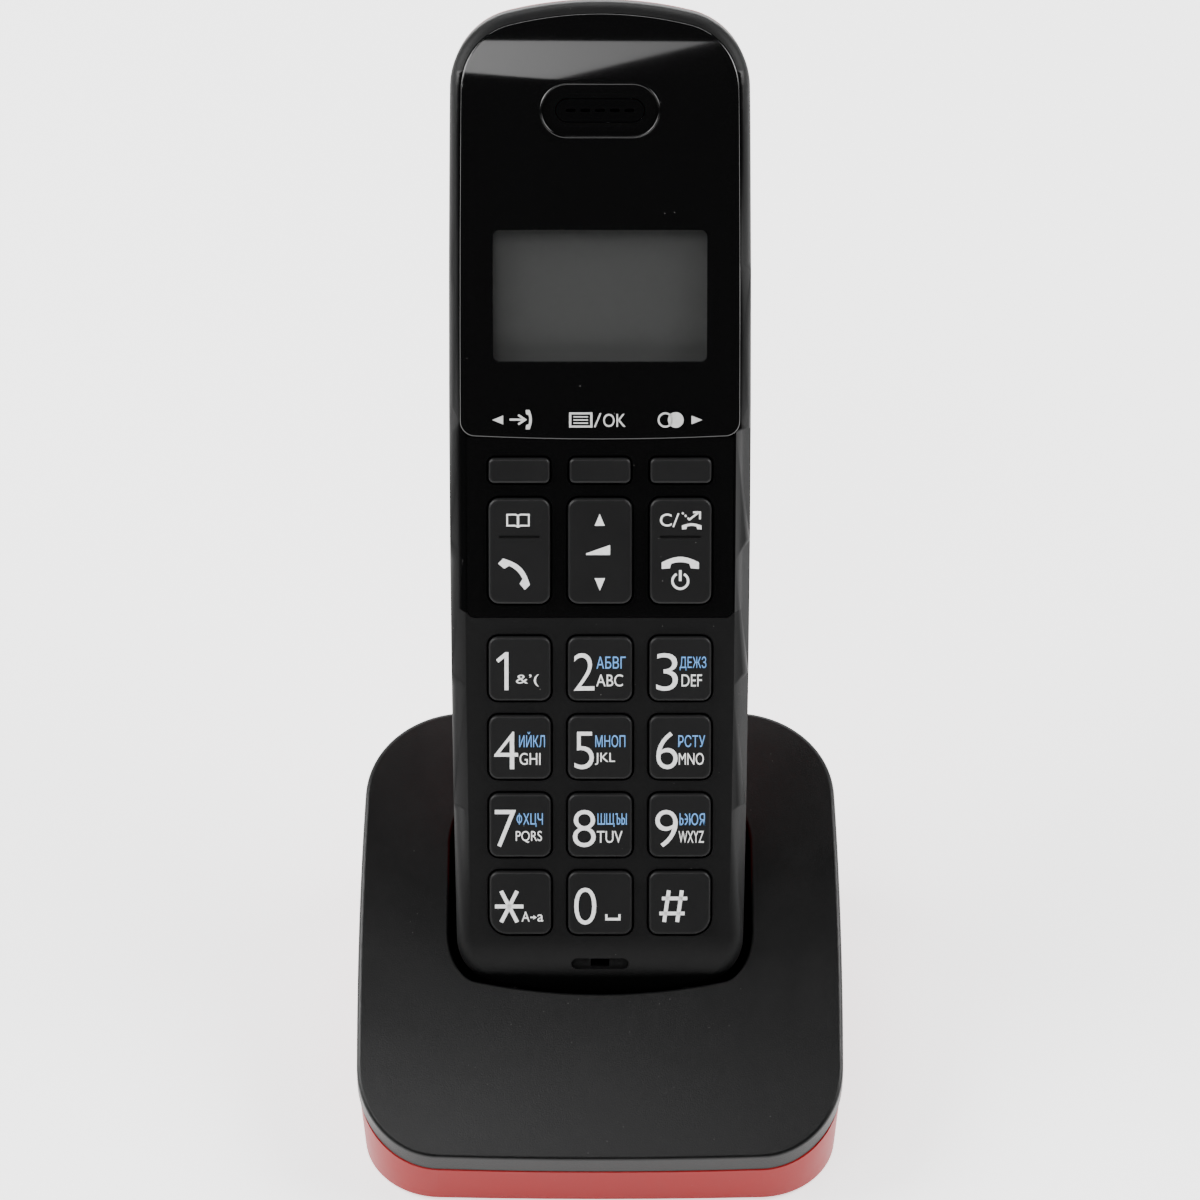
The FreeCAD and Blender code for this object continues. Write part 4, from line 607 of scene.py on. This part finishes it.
def plate_legends():
    """Printed under the window: soft-key labels."""
    listing = [
        [(-across, up), (across, up), (across, -up), (-across, -up)] for across, up in ((1.85, 1.2), (1.5, 0.9))
    ]
    meshes = [
        shapes([[(-17.05, 0), (-15.35, 0.7), (-15.35, -0.7)]]),
        bars([
            stroke([(-14.3, 0.05), (-12.1, 0.05)], 0.32),
            stroke([(-12.95, 0.8), (-11.85, 0.05), (-12.95, -0.7)], 0.32),
        ]),
        shapes([turned(receiver(3.1, 0.36, 0.42, 0.8, 0.62), -90, -11.15, 0.05)]),
        shapes([[(x - 3.05, z) for x, z in outline] for outline in listing]),
        bars([stroke([(-4.2, level), (-1.9, level)], 0.2) for level in (0.5, 0.0, -0.5)]),
        shapes([stroke([(-0.85, -1.15), (0.1, 1.1)], 0.25)]),
        fit(words("OK", weight=0.01), 0.5, 4.05, -1.12, 0.98),
        shapes([disc(10.35, 0, 1.22), disc(10.35, 0, 0.93)]),
        shapes([disc(12.0, 0, 1.25)]),
        shapes([[(16.2, 0), (14.5, 0.68), (14.5, -0.68)]]),
    ]
    flat = merged(meshes)
    settle(on_face(flat, 0.0, LABEL_ROW, PLATE_TOP), "plate_legend", "handset", INK_GREY)


def earpiece_bead():
    """The raised lip round the earpiece dish: a bead swept along a slot shape, closed on itself."""
    radius, reach, bead, around = 4.15, 5.15, 0.16, 12
    rim = [(reach + radius * math.cos(t), radius * math.sin(t)) for t in angles(-90, 90, 24)]
    rim += [(-reach + radius * math.cos(t), radius * math.sin(t)) for t in angles(90, 270, 24)]
    path = [Vector((x, 0, z + EARPIECE_ROW)) for x, z in rim]
    mesh = bmesh.new()
    rows = []
    for index, spot in enumerate(path):
        way = (path[(index + 1) % len(path)] - path[index - 1]).normalized()
        aside = Vector((way.z, 0, -way.x))
        roll = CROWN_RADIUS - math.sqrt(CROWN_RADIUS**2 - max(spot.z - CROWN_START, 0.0) ** 2)
        foot = spot + Vector((0, roll + PLATE_TOP, 0))
        rows.append([
            mesh.verts.new(foot + aside * bead * math.cos(t) - Vector((0, 0.6 * bead * math.sin(t), 0)))
            for t in angles(0, 360, around)[:-1]
        ])
    for index, row in enumerate(rows):
        following = rows[(index + 1) % len(rows)]
        for at in range(around):
            after = (at + 1) % around
            mesh.faces.new((row[at], row[after], following[after], following[at]))
    bmesh.ops.recalc_face_normals(mesh, faces=mesh.faces)
    for face in mesh.faces:
        face.smooth = True
    made = bpy.data.meshes.new("earpiece_bead")
    mesh.to_mesh(made)
    mesh.free()
    settle(made, "earpiece_bead", "handset", PAINTS["gloss_black_plastic"])


def angles(start, stop, count):
    return [math.radians(start + (stop - start) * n / count) for n in range(count + 1)]


# --- CAD nodes ---

def paint_nodes():
    slots = {entry["node"]: entry["material_slot"] for entry in frame["record"]["subparts"]}
    for name, made in frame["nodes"].items():
        made.data.materials.clear()
        made.data.materials.append(PAINTS[slots[name]])


# --- stage ---

def light(name, size, energy, spot, aim, tall=None):
    data = bpy.data.lights.new(name, "AREA")
    data.shape = "RECTANGLE"
    data.size = size
    data.size_y = tall or size
    data.energy = energy
    made = bpy.data.objects.new(name, data)
    made.location = spot
    made.rotation_euler = (Vector(aim) - Vector(spot)).to_track_quat("-Z", "Y").to_euler()
    bpy.context.scene.collection.objects.link(made)
    return made


def stage():
    ground = bpy.data.meshes.new("floor")
    reach = 3.0
    corners = [(-reach, -reach, 0), (reach, -reach, 0), (reach, reach, 0), (-reach, reach, 0)]
    ground.from_pydata(corners, [], [(0, 1, 2, 3)])
    floor = bpy.data.objects.new("floor", ground)
    bpy.context.scene.collection.objects.link(floor)
    pale, _, shader = material("pale floor")
    shader.inputs["Base Color"].default_value = (0.9, 0.9, 0.9, 1)
    shader.inputs["Roughness"].default_value = 0.9
    shader.inputs["Emission Color"].default_value = (1, 1, 1, 1)
    shader.inputs["Emission Strength"].default_value = FLOOR_GLOW
    ground.materials.append(pale)
    world = bpy.data.worlds.new("studio")
    world.use_nodes = True
    world.node_tree.nodes["Background"].inputs["Color"].default_value = (1, 1, 1, 1)
    world.node_tree.nodes["Background"].inputs["Strength"].default_value = WORLD_GLOW
    bpy.context.scene.world = world
    light("left", 0.7, 21.0, (-0.85, 0.1, 0.75), (0, 0, 0.05))
    light("right", 0.7, 18.0, (0.85, 0.1, 0.75), (0, 0, 0.05))
    light("rear", 1.2, 10.0, (0.0, 1.0, 0.72), (0, 0, 0.0), 0.5)
    light("front", 0.5, 4.0, (-0.3, -0.42, 0.95), (0, -0.03, 0.05), 0.3)
    crown_card()


def crown_card():
    """The card whose mirror image lies on the rolled top of the faceplate."""
    top = LEANING @ Vector((0, 2, 154))
    height, distance = math.radians(57), 0.55
    away = Vector((0, -math.cos(height), math.sin(height)))
    across, up = Vector((1, 0, 0)), Vector((0, math.sin(height), math.cos(height)))
    spots = [(-0.012, -0.072), (0.03, 0.062), (-0.1, 0.07), (-0.12, 0.04)]
    mesh = bpy.data.meshes.new("card")
    mesh.from_pydata([top + away * distance + across * u + up * v for u, v in spots], [], [(0, 1, 2, 3)])
    card = bpy.data.objects.new("card", mesh)
    bpy.context.scene.collection.objects.link(card)
    bright, tree, shader = material("card")
    place = tree.nodes.new("ShaderNodeTexCoord").outputs["Object"]
    apart = tree.nodes.new("ShaderNodeSeparateXYZ")
    tree.links.new(place, apart.inputs[0])
    fade = math_node(tree, "MULTIPLY", math_node(tree, "SUBTRACT", 0.06, apart.outputs["X"]), 30.0)
    tree.links.new(fade, shader.inputs["Emission Strength"])
    shader.inputs["Emission Color"].default_value = (1, 1, 1, 1)
    shader.inputs["Base Color"].default_value = (0.5, 0.5, 0.5, 1)
    mesh.materials.append(bright)


def camera():
    data = bpy.data.cameras.new("camera")
    data.sensor_width = SENSOR
    data.lens = SENSOR / 2 / math.tan(VIEW_ANGLE / 2)
    made = bpy.data.objects.new("camera", data)
    target = LEANING @ Vector((0, 0, VIEW_MIDDLE))
    back = Vector((0, -math.cos(VIEW_ELEVATION), math.sin(VIEW_ELEVATION)))
    made.location = target + back * VIEW_DISTANCE
    made.rotation_euler = (-back).to_track_quat("-Z", "Y").to_euler()
    data.clip_start, data.clip_end = 0.01, 20.0
    bpy.context.scene.collection.objects.link(made)
    bpy.context.scene.camera = made


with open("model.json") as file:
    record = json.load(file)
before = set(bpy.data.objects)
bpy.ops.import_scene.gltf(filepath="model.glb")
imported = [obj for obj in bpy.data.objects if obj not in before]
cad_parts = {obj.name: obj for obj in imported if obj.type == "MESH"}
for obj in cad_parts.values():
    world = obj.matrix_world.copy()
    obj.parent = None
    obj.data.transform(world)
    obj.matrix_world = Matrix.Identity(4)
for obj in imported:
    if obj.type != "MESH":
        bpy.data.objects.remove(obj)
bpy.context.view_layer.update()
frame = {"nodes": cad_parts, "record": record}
MOULDED = moulded_group()
INK_WHITE = printed("white ink", (0.88, 0.88, 0.87))
INK_GREY = printed("grey ink", (0.6, 0.6, 0.59))
INK_BLUE = printed("blue ink", (0.14, 0.37, 0.78))
PAINTS = {
    "satin_black_plastic": moulded(
        "satin black base", (0.0012, 0.0012, 0.0013), 0.36, scale=4200.0, bump=0.00003, specular=0.3, dust=0.12
    ),
    "red_plastic": moulded(
        "red plastic", (0.24, 0.0015, 0.0025), 0.4, grain=0.4, dust=0.1, bump=0.00001, specular=0.14
    ),
    "matte_black_plastic": case_material(),
    "gloss_black_plastic": moulded(
        "gloss black", (0.002, 0.002, 0.0021), 0.05, grain=0.0, handling=0.08, dust=0.25, coat=0.2,
        coat_roughness=0.03,
    ),
    "matte_key_plastic": moulded(
        "matte key", (0.0052, 0.0052, 0.0054), 0.48, scale=6500.0, bump=0.00001, specular=0.22
    ),
    "gloss_key_plastic": moulded(
        "satin key", (0.0055, 0.0055, 0.0057), 0.45, scale=6500.0, bump=0.000008, specular=0.22
    ),
    "window_plastic": window_material(),
    "display_glass": display_material(),
    "mat_rubber": moulded("mat rubber", (0.1, 0.1, 0.1), 0.7),
    "foot_rubber": moulded("foot rubber", (0.02, 0.02, 0.02), 0.8),
    "circuit_board": board_material(),
    "jack_plastic": moulded("black jack", (0.02, 0.02, 0.02), 0.5),
    "spring_metal": metal("plated spring", (0.75, 0.73, 0.68), 0.25),
    "screw_steel": metal("zinc steel", (0.55, 0.56, 0.57), 0.38),
    "speaker_metal": metal("speaker steel", (0.4, 0.4, 0.41), 0.45),
    "battery_wrap": moulded("battery sleeve", (0.03, 0.2, 0.09), 0.3, grain=0.1, coat=0.5),
}
paint_nodes()
number_legends()
rocker_legends()
plate_legends()
earpiece_bead()
stage()
camera()
bpy.context.view_layer.update()
